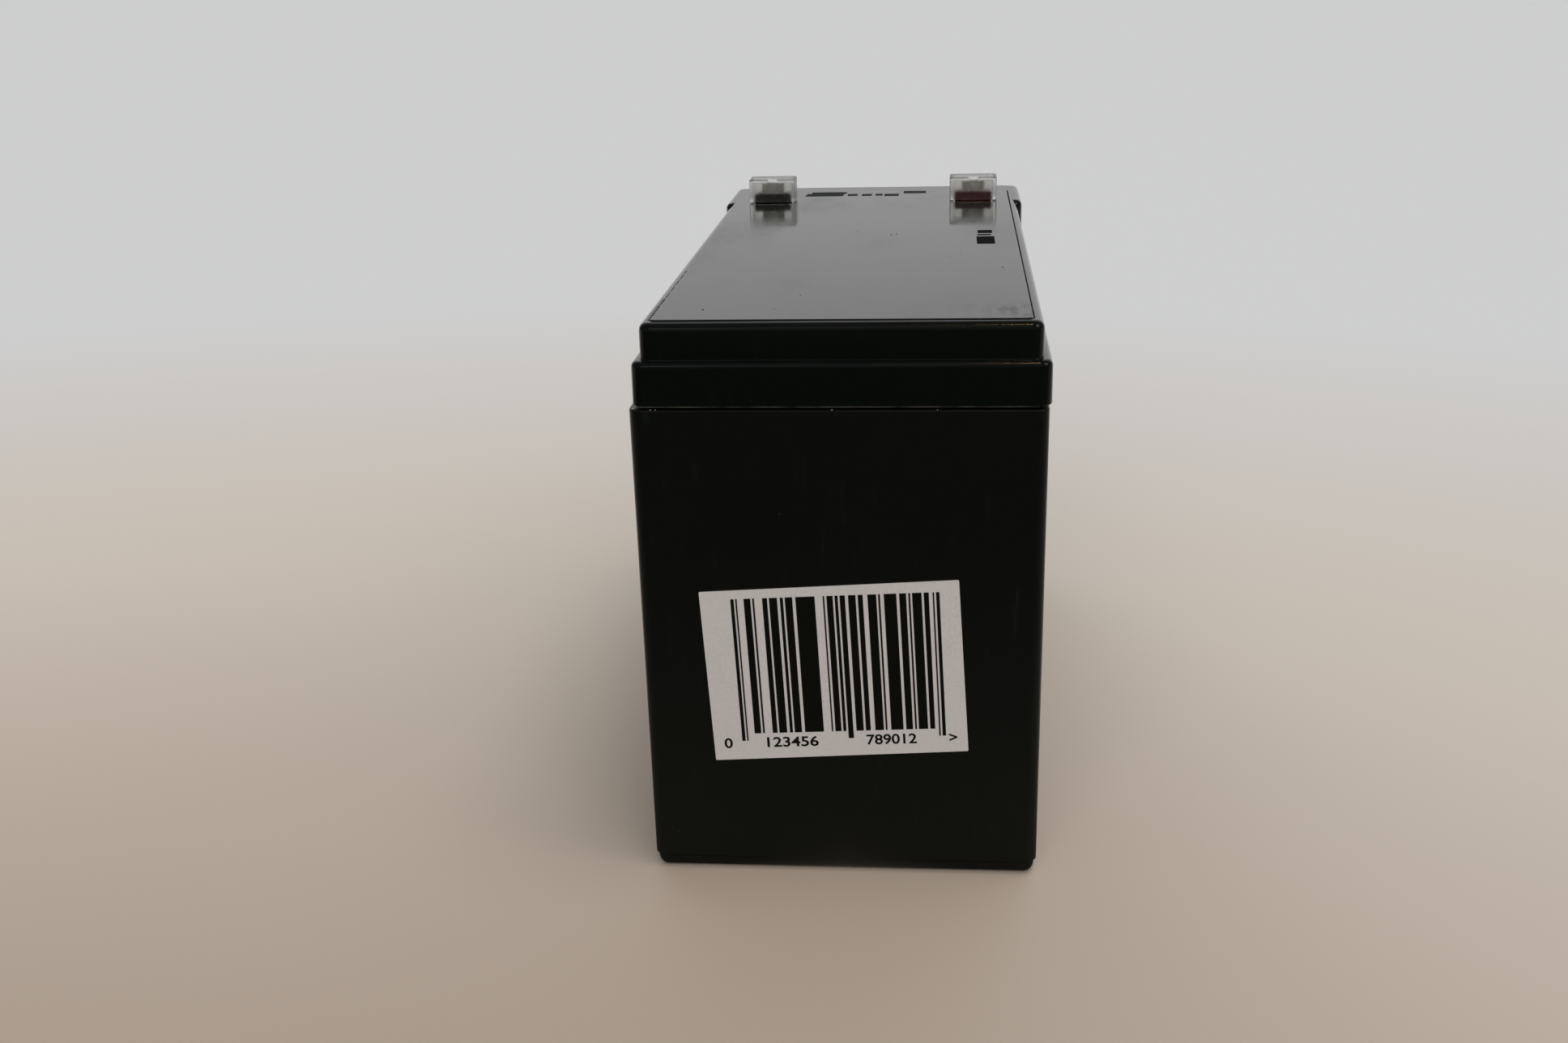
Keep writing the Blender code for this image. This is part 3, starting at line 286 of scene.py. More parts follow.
def polished_abs(name):
    """Glossy black ABS: a clear reflection that smears soften in patches."""
    material, tree, shader, place = start_material(name)
    wiped = add_node(tree, "ShaderNodeMapping", {"Vector": place, "Scale": (1.0, 0.45, 1.0)}, "Vector")
    film = add_node(
        tree, "ShaderNodeTexNoise",
        {"Vector": wiped, "Scale": per_metre(22.0), "Detail": 5.0, "Roughness": 0.62}, "Fac",
    )
    smears = add_node(
        tree, "ShaderNodeMapRange", {"Value": film, "From Min": 0.40, "From Max": 0.72}, "Result"
    )
    drawn_out = add_node(tree, "ShaderNodeMapping", {"Vector": place, "Scale": (1.0, 0.04, 1.0)}, "Vector")
    lines = add_node(
        tree, "ShaderNodeTexNoise",
        {"Vector": drawn_out, "Scale": per_metre(0.35), "Detail": 2.0, "Roughness": 0.5}, "Fac",
    )
    scratches = add_node(
        tree, "ShaderNodeMapRange", {"Value": lines, "From Min": 0.66, "From Max": 0.74}, "Result"
    )
    plastic = add_node(
        tree, "ShaderNodeMix",
        {
            "Factor_Float": smears,
            "A_Color": linear_colour(PLATE_BLACK), "B_Color": linear_colour(PLATE_SMEAR),
        },
        "Result_Color", data_type="RGBA",
    )
    specks = dust(tree, place, spacing=6.0, size=0.18)
    dusty = add_node(
        tree, "ShaderNodeMix",
        {"Factor_Float": specks, "A_Color": plastic, "B_Color": linear_colour(DUST_GREY)},
        "Result_Color", data_type="RGBA",
    )
    marks = add_node(
        tree, "ShaderNodeMath", {"Value": smears, "Value_001": SMEARS_DULL}, "Value", operation="MULTIPLY"
    )
    marks = add_node(
        tree, "ShaderNodeMath",
        {"Value": scratches, "Value_001": SCRATCHES_DULL, "Value_002": marks},
        "Value", operation="MULTIPLY_ADD",
    )
    stroked = add_node(tree, "ShaderNodeMapping", {"Vector": place, "Scale": (1.0, 0.3, 1.0)}, "Vector")
    strokes = add_node(
        tree, "ShaderNodeTexNoise",
        {"Vector": stroked, "Scale": per_metre(1.6), "Detail": 4.0, "Roughness": 0.6}, "Fac",
    )
    rubbed = add_node(
        tree, "ShaderNodeMapRange", {"Value": strokes, "From Min": 0.36, "From Max": 0.54}, "Result"
    )
    narrowed = add_node(
        tree, "ShaderNodeMapping", {"Vector": place, "Scale": (1.0, SMUDGE_NARROWING, 0.0)}, "Vector"
    )
    for x, y, reach, weight in SMUDGES:
        middle = (x, y * SMUDGE_NARROWING, 0.0)
        away = add_node(
            tree, "ShaderNodeVectorMath",
            {"Vector": narrowed, "Vector_001": middle}, "Value", operation="DISTANCE",
        )
        faded = add_node(
            tree, "ShaderNodeMapRange",
            {"Value": away, "From Min": reach, "From Max": SMUDGE_CORE * reach, "To Max": weight}, "Result",
        )
        marks = add_node(
            tree, "ShaderNodeMath",
            {"Value": faded, "Value_001": rubbed, "Value_002": marks}, "Value", operation="MULTIPLY_ADD",
        )
    sheen = add_node(
        tree, "ShaderNodeMapRange",
        {"Value": marks, "From Max": 4.4, "To Min": 0.05, "To Max": 0.52}, "Result",
    )
    ripple = add_node(
        tree, "ShaderNodeTexNoise",
        {"Vector": place, "Scale": per_metre(9.0), "Detail": 1.0, "Roughness": 0.5}, "Fac",
    )
    relief = add_node(
        tree, "ShaderNodeBump", {"Height": ripple, "Distance": 0.00001, "Strength": 1.0}, "Normal"
    )
    fill_inputs(tree, shader, {"Base Color": dusty, "Roughness": sheen, "IOR": 1.59, "Normal": relief})
    return material


dress("cover_plate", polished_abs("ABS plate, polished mould"))

# Terminal blocks
# Resin blocks, black for the negative pole and dark red for the positive one, lock each tab in its
# well and stand above the plate as a socket.
BLOCK_BLACK = "#181912"
BLOCK_BLACK_LIGHT = "#22231a"
BLOCK_RED = "#5e160a"
BLOCK_RED_LIGHT = "#702011"


def moulded_resin(name, dark, light):
    """A dull moulded resin with faint flow marks, which stays dark under the lamps."""
    material, tree, shader, place = start_material(name)
    swirl = add_node(
        tree, "ShaderNodeTexNoise",
        {"Vector": place, "Scale": per_metre(1.2), "Detail": 4.0, "Roughness": 0.5}, "Fac",
    )
    flow = add_node(tree, "ShaderNodeMapRange", {"Value": swirl, "From Min": 0.35, "From Max": 0.7}, "Result")
    colour = add_node(
        tree, "ShaderNodeMix",
        {"Factor_Float": flow, "A_Color": linear_colour(dark), "B_Color": linear_colour(light)},
        "Result_Color", data_type="RGBA",
    )
    sheen = add_node(tree, "ShaderNodeMapRange", {"Value": flow, "To Min": 0.5, "To Max": 0.62}, "Result")
    grain = add_node(
        tree, "ShaderNodeTexNoise",
        {"Vector": place, "Scale": per_metre(0.2), "Detail": 2.0, "Roughness": 0.5}, "Fac",
    )
    relief = add_node(
        tree, "ShaderNodeBump", {"Height": grain, "Distance": 0.00001, "Strength": 1.0}, "Normal"
    )
    fill_inputs(
        tree, shader, {"Base Color": colour, "Roughness": sheen, "Specular IOR Level": 0.2, "Normal": relief}
    )
    return material


dress("negative_terminal_base", moulded_resin("black resin, moulded", BLOCK_BLACK, BLOCK_BLACK_LIGHT))
dress("positive_terminal_base", moulded_resin("red resin, moulded", BLOCK_RED, BLOCK_RED_LIGHT))

# Terminal tabs
# Blades of stamped brass strip with a tin plating, 4.75 mm wide and 0.8 mm thick.
# The plating is dull silver, with fine lines along the strip and a few darker spots.
TIN_LIGHT = "#eeeeea"
TIN_DARK = "#dadad5"


def tin_plate(name):
    """Dull tin plating over strip: soft reflections drawn out along the rolling direction."""
    material, tree, shader, place = start_material(name)
    rolled = add_node(tree, "ShaderNodeMapping", {"Vector": place, "Scale": (1.0, 1.0, 0.05)}, "Vector")
    lines = add_node(
        tree, "ShaderNodeTexNoise",
        {"Vector": rolled, "Scale": per_metre(0.15), "Detail": 3.0, "Roughness": 0.5}, "Fac",
    )
    bloom = add_node(
        tree, "ShaderNodeTexNoise",
        {"Vector": place, "Scale": per_metre(1.0), "Detail": 4.0, "Roughness": 0.5}, "Fac",
    )
    spots = add_node(
        tree, "ShaderNodeMapRange", {"Value": bloom, "From Min": 0.55, "From Max": 0.75}, "Result"
    )
    colour = add_node(
        tree, "ShaderNodeMix",
        {"Factor_Float": spots, "A_Color": linear_colour(TIN_LIGHT), "B_Color": linear_colour(TIN_DARK)},
        "Result_Color", data_type="RGBA",
    )
    sheen = add_node(
        tree, "ShaderNodeMapRange",
        {"Value": lines, "From Min": 0.3, "From Max": 0.7, "To Min": 0.58, "To Max": 0.72}, "Result",
    )
    relief = add_node(
        tree, "ShaderNodeBump", {"Height": lines, "Distance": 0.000006, "Strength": 1.0}, "Normal"
    )
    fill_inputs(tree, shader, {"Base Color": colour, "Roughness": sheen, "Metallic": 0.35, "Normal": relief})
    return material


tin = tin_plate("tin plated brass, rolled strip")
dress("negative_terminal_tab", tin)
dress("positive_terminal_tab", tin)

# Terminal caps
# Clear vinyl caps, moulded thin and pressed over the tabs for transport.
# The vinyl is slightly cloudy, so what is inside shows softened.
VINYL_CLEAR = "#fafaf8"


def clear_vinyl(name):
    """Clear vinyl: it passes most light, blurs it a little and shines at its edges."""
    material, tree, shader, place = start_material(name)
    haze = add_node(
        tree, "ShaderNodeTexNoise",
        {"Vector": place, "Scale": per_metre(3.0), "Detail": 2.0, "Roughness": 0.5}, "Fac",
    )
    blur = add_node(
        tree, "ShaderNodeMapRange",
        {"Value": haze, "From Min": 0.35, "From Max": 0.65, "To Min": 0.26, "To Max": 0.34}, "Result",
    )
    relief = add_node(
        tree, "ShaderNodeBump", {"Height": haze, "Distance": 0.000004, "Strength": 1.0}, "Normal"
    )
    fill_inputs(tree, shader, {"Base Color": linear_colour(VINYL_CLEAR), "Roughness": blur, "Normal": relief})
    fill_inputs(tree, shader, {"Transmission Weight": 0.99, "IOR": 1.53})
    return material


vinyl = clear_vinyl("clear vinyl, thin moulded")
dress("negative_terminal_cap", vinyl)
dress("positive_terminal_cap", vinyl)

# Code label
# A coated paper label stuck on by hand, a little askew, on the sloping end wall.
# Its bars are thermal print, so they are matt black and slightly heavy.
PAPER_WHITE = "#c0bdbb"
PAPER_FIBRE = "#a6a3a1"
INK_BLACK = "#0c0d0a"
INK_WORN = "#1a1a16"
LABEL_TILT = math.radians(3.3)
PRINT_TURN = math.radians(-0.65)
WALL_LEAN = math.atan(0.007)
PRINT_LIFT = 0.00001
PRINT_FILM = 0.00002
BARS_LEFT = -0.0160
BARS_TOP = 0.0133
DATA_BOTTOM = -0.0105
GUARD_BOTTOM = -0.0118
# The width of each bar and of the gap after it, in millimetres. They follow no real code.
BARS = (
    (0.55, 0.25), (0.25, 1.10), (1.10, 0.30), (0.30, 1.30), (0.80, 0.30), (1.30, 0.45), (0.50, 0.30),
    (1.20, 0.50), (3.10, 1.30), (0.25, 0.35), (1.00, 0.30), (0.50, 0.30), (0.85, 0.50), (1.20, 0.35),
    (0.80, 0.75), (1.40, 0.30), (0.30, 0.60), (2.00, 0.45), (1.10, 0.35), (0.30, 0.30), (1.50, 0.35),
    (0.80, 0.60), (0.25, 0.30), (0.55, 0.00),
)
LONG_BARS = (0, 1, 12, 22, 23)
FIGURE_HEIGHT = 0.0018
FIGURE_BASE = -0.0130
FIGURE_BOLD = 0.000045
# A figure of the built-in font is this share of the font's size in height.
FONT_SHARE = 0.73
FIGURES = (
    ("first", "0", -0.0190, -0.01765),
    ("left", "123456", -0.0119, -0.0034),
    ("right", "789012", 0.0045, 0.0127),
    ("end", ">", 0.0180, 0.0193),
)


def coated_paper(name):
    """White label paper: a soft mottle, fibres and a few specks under a dull coat."""
    material, tree, shader, place = start_material(name)
    fibres = add_node(
        tree, "ShaderNodeTexNoise",
        {"Vector": place, "Scale": per_metre(0.35), "Detail": 4.0, "Roughness": 0.7}, "Fac",
    )
    tufts = add_node(
        tree, "ShaderNodeMapRange", {"Value": fibres, "From Min": 0.45, "From Max": 0.75}, "Result"
    )
    patches = add_node(
        tree, "ShaderNodeTexNoise",
        {"Vector": place, "Scale": per_metre(6.0), "Detail": 3.0, "Roughness": 0.5}, "Fac",
    )
    mottle = add_node(
        tree, "ShaderNodeMath", {"Value": tufts, "Value_001": patches}, "Value", operation="MULTIPLY"
    )
    paper = add_node(
        tree, "ShaderNodeMix",
        {
            "Factor_Float": mottle,
            "A_Color": linear_colour(PAPER_WHITE), "B_Color": linear_colour(PAPER_FIBRE),
        },
        "Result_Color", data_type="RGBA",
    )
    specks = dust(tree, place, spacing=2.4, size=0.10)
    dusty = add_node(
        tree, "ShaderNodeMix",
        {"Factor_Float": specks, "A_Color": paper, "B_Color": linear_colour(DUST_GREY)},
        "Result_Color", data_type="RGBA",
    )
    dulling = add_node(
        tree, "ShaderNodeMapRange",
        {"Value": fibres, "From Min": 0.3, "From Max": 0.7, "To Min": 0.5, "To Max": 0.62}, "Result",
    )
    relief = add_node(
        tree, "ShaderNodeBump", {"Height": fibres, "Distance": 0.00001, "Strength": 1.0}, "Normal"
    )
    fill_inputs(
        tree, shader, {"Base Color": dusty, "Roughness": dulling, "Specular IOR Level": 0.3, "Normal": relief}
    )
    return material


def printed_ink(name, black, worn, specular, rough):
    """Matt black print with paler grains where the ink is thin."""
    material, tree, shader, place = start_material(name)
    film = add_node(
        tree, "ShaderNodeTexNoise",
        {"Vector": place, "Scale": per_metre(0.3), "Detail": 4.0, "Roughness": 0.7}, "Fac",
    )
    thin = add_node(tree, "ShaderNodeMapRange", {"Value": film, "From Min": 0.55, "From Max": 0.8}, "Result")
    colour = add_node(
        tree, "ShaderNodeMix",
        {"Factor_Float": thin, "A_Color": linear_colour(black), "B_Color": linear_colour(worn)},
        "Result_Color", data_type="RGBA",
    )
    dulling = add_node(
        tree, "ShaderNodeMapRange", {"Value": thin, "To Min": rough - 0.1, "To Max": rough + 0.1}, "Result"
    )
    fill_inputs(tree, shader, {"Base Color": colour, "Roughness": dulling, "Specular IOR Level": specular})
    return material


def add_film(shape, left, right, bottom, top):
    """Adds a thin box of print to a shape that lies in the printed surface's own plane."""
    box = bmesh.ops.create_cube(shape, size=1.0)["verts"]
    size = (right - left, top - bottom, PRINT_FILM)
    middle = ((left + right) / 2, (bottom + top) / 2, PRINT_LIFT + PRINT_FILM / 2)
    for vertex in box:
        vertex.co = Vector(middle) + Vector(c * s for c, s in zip(vertex.co, size))


def make_piece(name, shape, material, matrix=Matrix.Identity(4)):
    """Turns a bmesh into a piece with one finish that moves with the battery."""
    mesh = bpy.data.meshes.new(name)
    shape.to_mesh(mesh)
    shape.free()
    mesh.materials.append(material)
    piece = bpy.data.objects.new(name, mesh)
    piece.matrix_world = matrix
    bpy.context.scene.collection.objects.link(piece)
    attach(piece, "root")


dress("barcode_label", coated_paper("coated label paper"))
label_low, label_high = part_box("barcode_label")
outward = Vector((0.0, -math.cos(WALL_LEAN), -math.sin(WALL_LEAN)))
across = Vector((1.0, 0.0, 0.0))
up = outward.cross(across)
along = math.cos(LABEL_TILT) * across + math.sin(LABEL_TILT) * up
upright = -math.sin(LABEL_TILT) * across + math.cos(LABEL_TILT) * up
label_corners = [vertex.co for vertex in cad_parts["barcode_label"].data.vertices]
label_face = max(corner.dot(outward) for corner in label_corners)
label_middle = (label_low + label_high) / 2
label_middle += (label_face - label_middle.dot(outward)) * outward
label_frame = Matrix((along, upright, outward)).transposed().to_4x4()
label_frame.translation = label_middle
label_frame @= Matrix.Rotation(PRINT_TURN, 4, "Z")

label_ink = printed_ink("thermal print, black", INK_BLACK, INK_WORN, specular=0.15, rough=0.6)
bars = bmesh.new()
left = BARS_LEFT
for number, (width, gap) in enumerate(BARS):
    right = left + width / 1000
    add_film(bars, left, right, GUARD_BOTTOM if number in LONG_BARS else DATA_BOTTOM, BARS_TOP)
    left = right + gap / 1000
make_piece("label_bars", bars, label_ink, label_frame)


def add_figures(name, text, left, right):
    """Prints a row of plain figures between two places on the label."""
    curve = bpy.data.curves.new(name, "FONT")
    curve.body = text
    curve.size = FIGURE_HEIGHT / FONT_SHARE
    curve.offset = FIGURE_BOLD
    curve.extrude = PRINT_FILM / 2
    figures = bpy.data.objects.new(name, curve)
    bpy.context.scene.collection.objects.link(figures)
    bpy.context.view_layer.update()
    mesh = bpy.data.meshes.new_from_object(figures.evaluated_get(bpy.context.evaluated_depsgraph_get()))
    bpy.data.objects.remove(figures)
    shape = bmesh.new()
    shape.from_mesh(mesh)
    low = min(vertex.co.x for vertex in shape.verts)
    high = max(vertex.co.x for vertex in shape.verts)
    for vertex in shape.verts:
        vertex.co.x = left + (vertex.co.x - low) / (high - low) * (right - left)
        vertex.co.y += FIGURE_BASE
        vertex.co.z += PRINT_LIFT + PRINT_FILM / 2
    make_piece(name, shape, label_ink, label_frame)


for name, text, left, right in FIGURES:
    add_figures(f"label_figures_{name}", text, left, right)

# Plate marks
# Two groups of plain bars on the plate: black print beside the right edge, of which the thin one is faint,
# and a row of dark grey matt bars between the terminals.
# Each bar has its left, right, near and far edge in millimetres.
EDGE_BARS = ((22.5, 25.3, 6.0, 9.4), (22.4, 25.0, 3.5, 4.6), (22.2, 25.6, -6.1, 2.1))
ROW_BARS = (
    (-15.0, -6.6, 57.8, 59.6), (-14.8, -6.4, 59.8, 61.6), (-13.8, -6.0, 61.8, 63.8), (-5.6, -3.4, 58.0, 60.8),
    (-2.4, -0.2, 57.8, 60.6), (0.6, 2.2, 58.0, 60.6), (2.6, 5.8, 57.2, 60.4), (6.8, 11.8, 61.0, 64.4),
)
ROW_GREY = "#2c2e2a"
ROW_GREY_PALE = "#4b4d48"
plate_low, plate_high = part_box("cover_plate")


def add_marks(name, places, finish):
    """Lays plain bars on the plate."""
    shape = bmesh.new()
    for left, right, near, far in places:
        add_film(shape, left / 1000, right / 1000, near / 1000, far / 1000)
    make_piece(name, shape, finish, Matrix.Translation((0, 0, plate_high.z)))


stamped = printed_ink("dull stamping ink", INK_BLACK, INK_WORN, specular=0.02, rough=0.85)
# The row between the terminals takes the same matt finish in dark grey.
grey_row_finish = printed_ink("dark grey matt bars", ROW_GREY, ROW_GREY_PALE, specular=0.02, rough=0.85)
add_marks("plate_marks", EDGE_BARS, stamped)
add_marks("plate_grey_row", ROW_BARS, grey_row_finish)

# Weld flash
# Welding the plate in squeezed a thin bead of ABS out of the seam. It fills the seam on the left
# side, with gaps towards the label, and a tool nicked the rim beside it near the front left corner.
SEAM = 0.00025
FLASH_SEED = 7
FILL_START = -0.0712
FILL_STEP = 0.0009
FILL_RINGS = 152
FILL_SUNK = 0.00026
# The bead's width is this share of the seam's, and its height is in metres.
FILL_WIDTHS = (1.15, 1.6)
FILL_HEIGHTS = (0.00005, 0.00009)
GAP_SUNK = 0.0004
OPEN_UNTIL = -0.030
# Near the label, every third pair of rings is filled.
FILLED_PAIR = 3
NICKS = 10
NICK_START = -0.0712
NICK_STEP = 0.00175
NICK_DRIFT = 0.0002
NICK_ASIDE = 0.0002
NICK_SUNK = 0.0002
NICK_WIDTH = 0.0002
# A nick's half sizes along X and Y are in millimetres.
NICK_HALF_WIDE = (0.35, 0.5)
NICK_HALF_LONG = (0.3, 0.6)
NICK_SHARES = (-1.0, -0.4, 0.4, 1.0)
NICK_HEIGHTS = (0.00001, 0.00005, 0.00006, 0.00001)
# A bead's section is half a circle, drawn through points at these shares of the half turn.
SECTION_TURNS = (0.0, 0.2, 0.5, 0.8, 1.0)


def add_bead(shape, points, across, width_of, height_of):
    """Adds a ragged bead along a line of points, closed at both ends."""
    rings = []
    for index, point in enumerate(points):
        width, height = width_of(index), height_of(index)
        ring = []
        for turn in SECTION_TURNS:
            angle = math.pi * turn
            offset = across * math.cos(angle) * width / 2 + Vector((0, 0, math.sin(angle) * height))
            ring.append(shape.verts.new(point + offset))
        rings.append(ring)
    for one, other in zip(rings, rings[1:]):
        for a in range(len(one)):
            b = (a + 1) % len(one)
            shape.faces.new((one[a], one[b], other[b], other[a]))
    shape.faces.new(rings[0][::-1])
    shape.faces.new(rings[-1])


chance = random.Random(FLASH_SEED)
flash = bmesh.new()
seam_left = plate_low.x - SEAM / 2
fill = []
for step in range(FILL_RINGS):
    y = FILL_START + FILL_STEP * step
    sunk = GAP_SUNK if y < OPEN_UNTIL and step // 2 % FILLED_PAIR != 0 else FILL_SUNK
    fill.append(Vector((seam_left, y, plate_high.z - sunk)))
add_bead(
    flash, fill, Vector((1, 0, 0)),
    lambda i: SEAM * chance.uniform(*FILL_WIDTHS), lambda i: chance.uniform(*FILL_HEIGHTS),
)
for number in range(NICKS):
    y = NICK_START + NICK_STEP * number + chance.uniform(-NICK_DRIFT, NICK_DRIFT)
    middle = Vector((seam_left - NICK_ASIDE, y, plate_high.z - NICK_SUNK))
    reach = Vector((chance.uniform(*NICK_HALF_WIDE), chance.uniform(*NICK_HALF_LONG), 0)) / 1000
    line = [middle + reach * share for share in NICK_SHARES]
    add_bead(flash, line, Vector((0, 1, 0)), lambda i: NICK_WIDTH, lambda i: NICK_HEIGHTS[i])
bmesh.ops.recalc_face_normals(flash, faces=flash.faces[:])
make_piece("weld_flash", flash, lid_abs)

# Moulding flash
# A thin ragged edge of ABS stands along the foot of the lid's lower tier, where the mould closed.
# Its colour drifts to a paler grey in places, a painted highlight, so it reads as a fine pale line above the
# joint.
FOOT_SEED = 11
FOOT_FRONT = -0.07535
FOOT_HEIGHT = 0.08102
FOOT_HALF_LENGTH = 0.0308
FOOT_STEPS = 77
FOOT_WIDTHS = (0.00022, 0.00028)
FOOT_HEIGHTS = (0.00012, 0.00025)
FLASH_DARK = "#0c0d0a"
FLASH_PAINTED_HIGHLIGHT = "#3b3c34"
chance = random.Random(FOOT_SEED)
foot = bmesh.new()
foot_line = []
for step in range(FOOT_STEPS + 1):
    foot_line.append(Vector((FOOT_HALF_LENGTH * (2 * step / FOOT_STEPS - 1), FOOT_FRONT, FOOT_HEIGHT)))
add_bead(
    foot, foot_line, Vector((0, 1, 0)),
    lambda i: chance.uniform(*FOOT_WIDTHS), lambda i: chance.uniform(*FOOT_HEIGHTS),
)
bmesh.ops.recalc_face_normals(foot, faces=foot.faces[:])
# The flash's paler grey patches are a painted highlight.
make_piece(
    "moulding_flash", foot, clouded("ABS flash, painted highlight", FLASH_DARK, FLASH_PAINTED_HIGHLIGHT, lump=5.0, rough=0.5)
)

# Grit
# Grains of dry dirt lie on the plate where wiping has missed them, and pale crumbs of the sealing
# resin stick in the joint at the front.
GRIT_SEED = 3
GRIT_DARK = "#161512"
GRIT_BROWN = "#2c2823"
CRUMB_GREY = "#8f8b80"
CRUMB_PALE = "#c2bdb0"
# Each place on the plate has its X and Y in millimetres, with the grain's radius.
GRIT_PLACES = (
    (-21.8, -64.8, 0.17), (-7.2, -53.7, 0.11), (5.8, 5.0, 0.16), (6.8, 5.9, 0.14), (26.3, -30.4, 0.14),
)
STRAY_GRAINS = 14
STRAY_ACROSS = (-27, 28)
STRAY_ALONG = (-68, 40)
STRAY_RADIUS = (0.05, 0.09)
# Each crumb in the joint has its X and its height above the joint's floor, with its radius.
CRUMB_PLACES = (
    (-32.0, 0.25, 0.13), (-29.2, 0.02, 0.14), (-28.4, 0.04, 0.10), (-0.9, 0.02, 0.12), (15.3, 0.0, 0.09),
)
JOINT_FLOOR = 0.0806
JOINT_FRONT = -0.0753
# A grain is stretched by this much along X, Y and Z.
GRAIN_FORM = (1.0, 1.4, 0.7)


def add_grain(shape, place, radius):
    """Adds a small low grain with its middle at a place."""
    stand = Matrix.Translation(place) @ Matrix.Diagonal((*GRAIN_FORM, 1.0))
    bmesh.ops.create_icosphere(shape, subdivisions=1, radius=radius, matrix=stand)


scatter = random.Random(GRIT_SEED)
places = list(GRIT_PLACES)
for _ in range(STRAY_GRAINS):
    places.append(tuple(scatter.uniform(*span) for span in (STRAY_ACROSS, STRAY_ALONG, STRAY_RADIUS)))
grit = bmesh.new()
for x, y, radius in places:
    add_grain(grit, Vector((x / 1000, y / 1000, plate_high.z)), radius / 1000)
make_piece("plate_grit", grit, clouded("dirt, dry", GRIT_DARK, GRIT_BROWN, lump=0.2, rough=0.85))
crumbs = bmesh.new()
for x, height, radius in CRUMB_PLACES:
    add_grain(crumbs, Vector((x / 1000, JOINT_FRONT, JOINT_FLOOR + height / 1000)), radius / 1000)
make_piece("joint_crumbs", crumbs, clouded("resin crumbs, pale", CRUMB_GREY, CRUMB_PALE, lump=0.2, rough=0.6))

# Studio
# A pale paper floor, warmer and darker in front of the battery, partly its beige and partly painted shade,
# in a room that is pale ahead and dim overhead and behind the camera. Broad soft lamps light the battery
# and small ones draw its highlights, and in reflections the floor in front turns to a painted dark edge, so
# that black faces stay black.
FLOOR_NEAR_SHADED = "#a59485"
FLOOR_MIDDLE = "#c2b6a9"
FLOOR_FAR = "#c8c6c5"
ROOM_PALE = "#cccccc"
ROOM_DIM = "#4c4b49"
PAINTED_REFLECTION_DARK = "#1a1715"
WARM_LIGHT = (1.0, 0.95, 0.89)
SKY_LIGHT = (0.55, 0.78, 1.0)
BULB_LIGHT = (1.0, 0.55, 0.2)
WHITE_LIGHT = (1.0, 1.0, 1.0)
FLOOR_REACH = 6.0
FLOOR_SIDES = 96
WARM_CENTRE = (-0.11, -0.32, 0.0)
NEAR_RADIUS = 0.18
MIDDLE_RADIUS = 0.40
FAR_RADIUS = 0.72
# The painted dark reflection starts at the battery's front, drawn back by this share of the way to each side,
# and grows from its first share of darkness to its last one between two places in front.
EDGE_BEGINS = -0.075
EDGE_FULL = -0.085
EDGE_SLANT = 0.55
EDGE_NEAR = -0.07
EDGE_FAR = -0.20
EDGE_FIRST_SHARE = 0.70
EDGE_LAST_SHARE = 0.97
# The room is dim where the direction's Y is below the first value and pale above the second.
ROOM_DIM_BELOW = 0.45
ROOM_PALE_ABOVE = 0.85
IMAGE_WIDTH_PIXELS = 1936
FOCAL_PIXELS = 2183.1
NEAREST_SEEN = 0.01
CAMERA_PLACE = (0.016881, -0.338516, 0.151131)
CAMERA_TURN = math.radians(5.565)
CAMERA_DOWN = math.radians(18.543)
CAMERA_ROLL = math.radians(1.519)


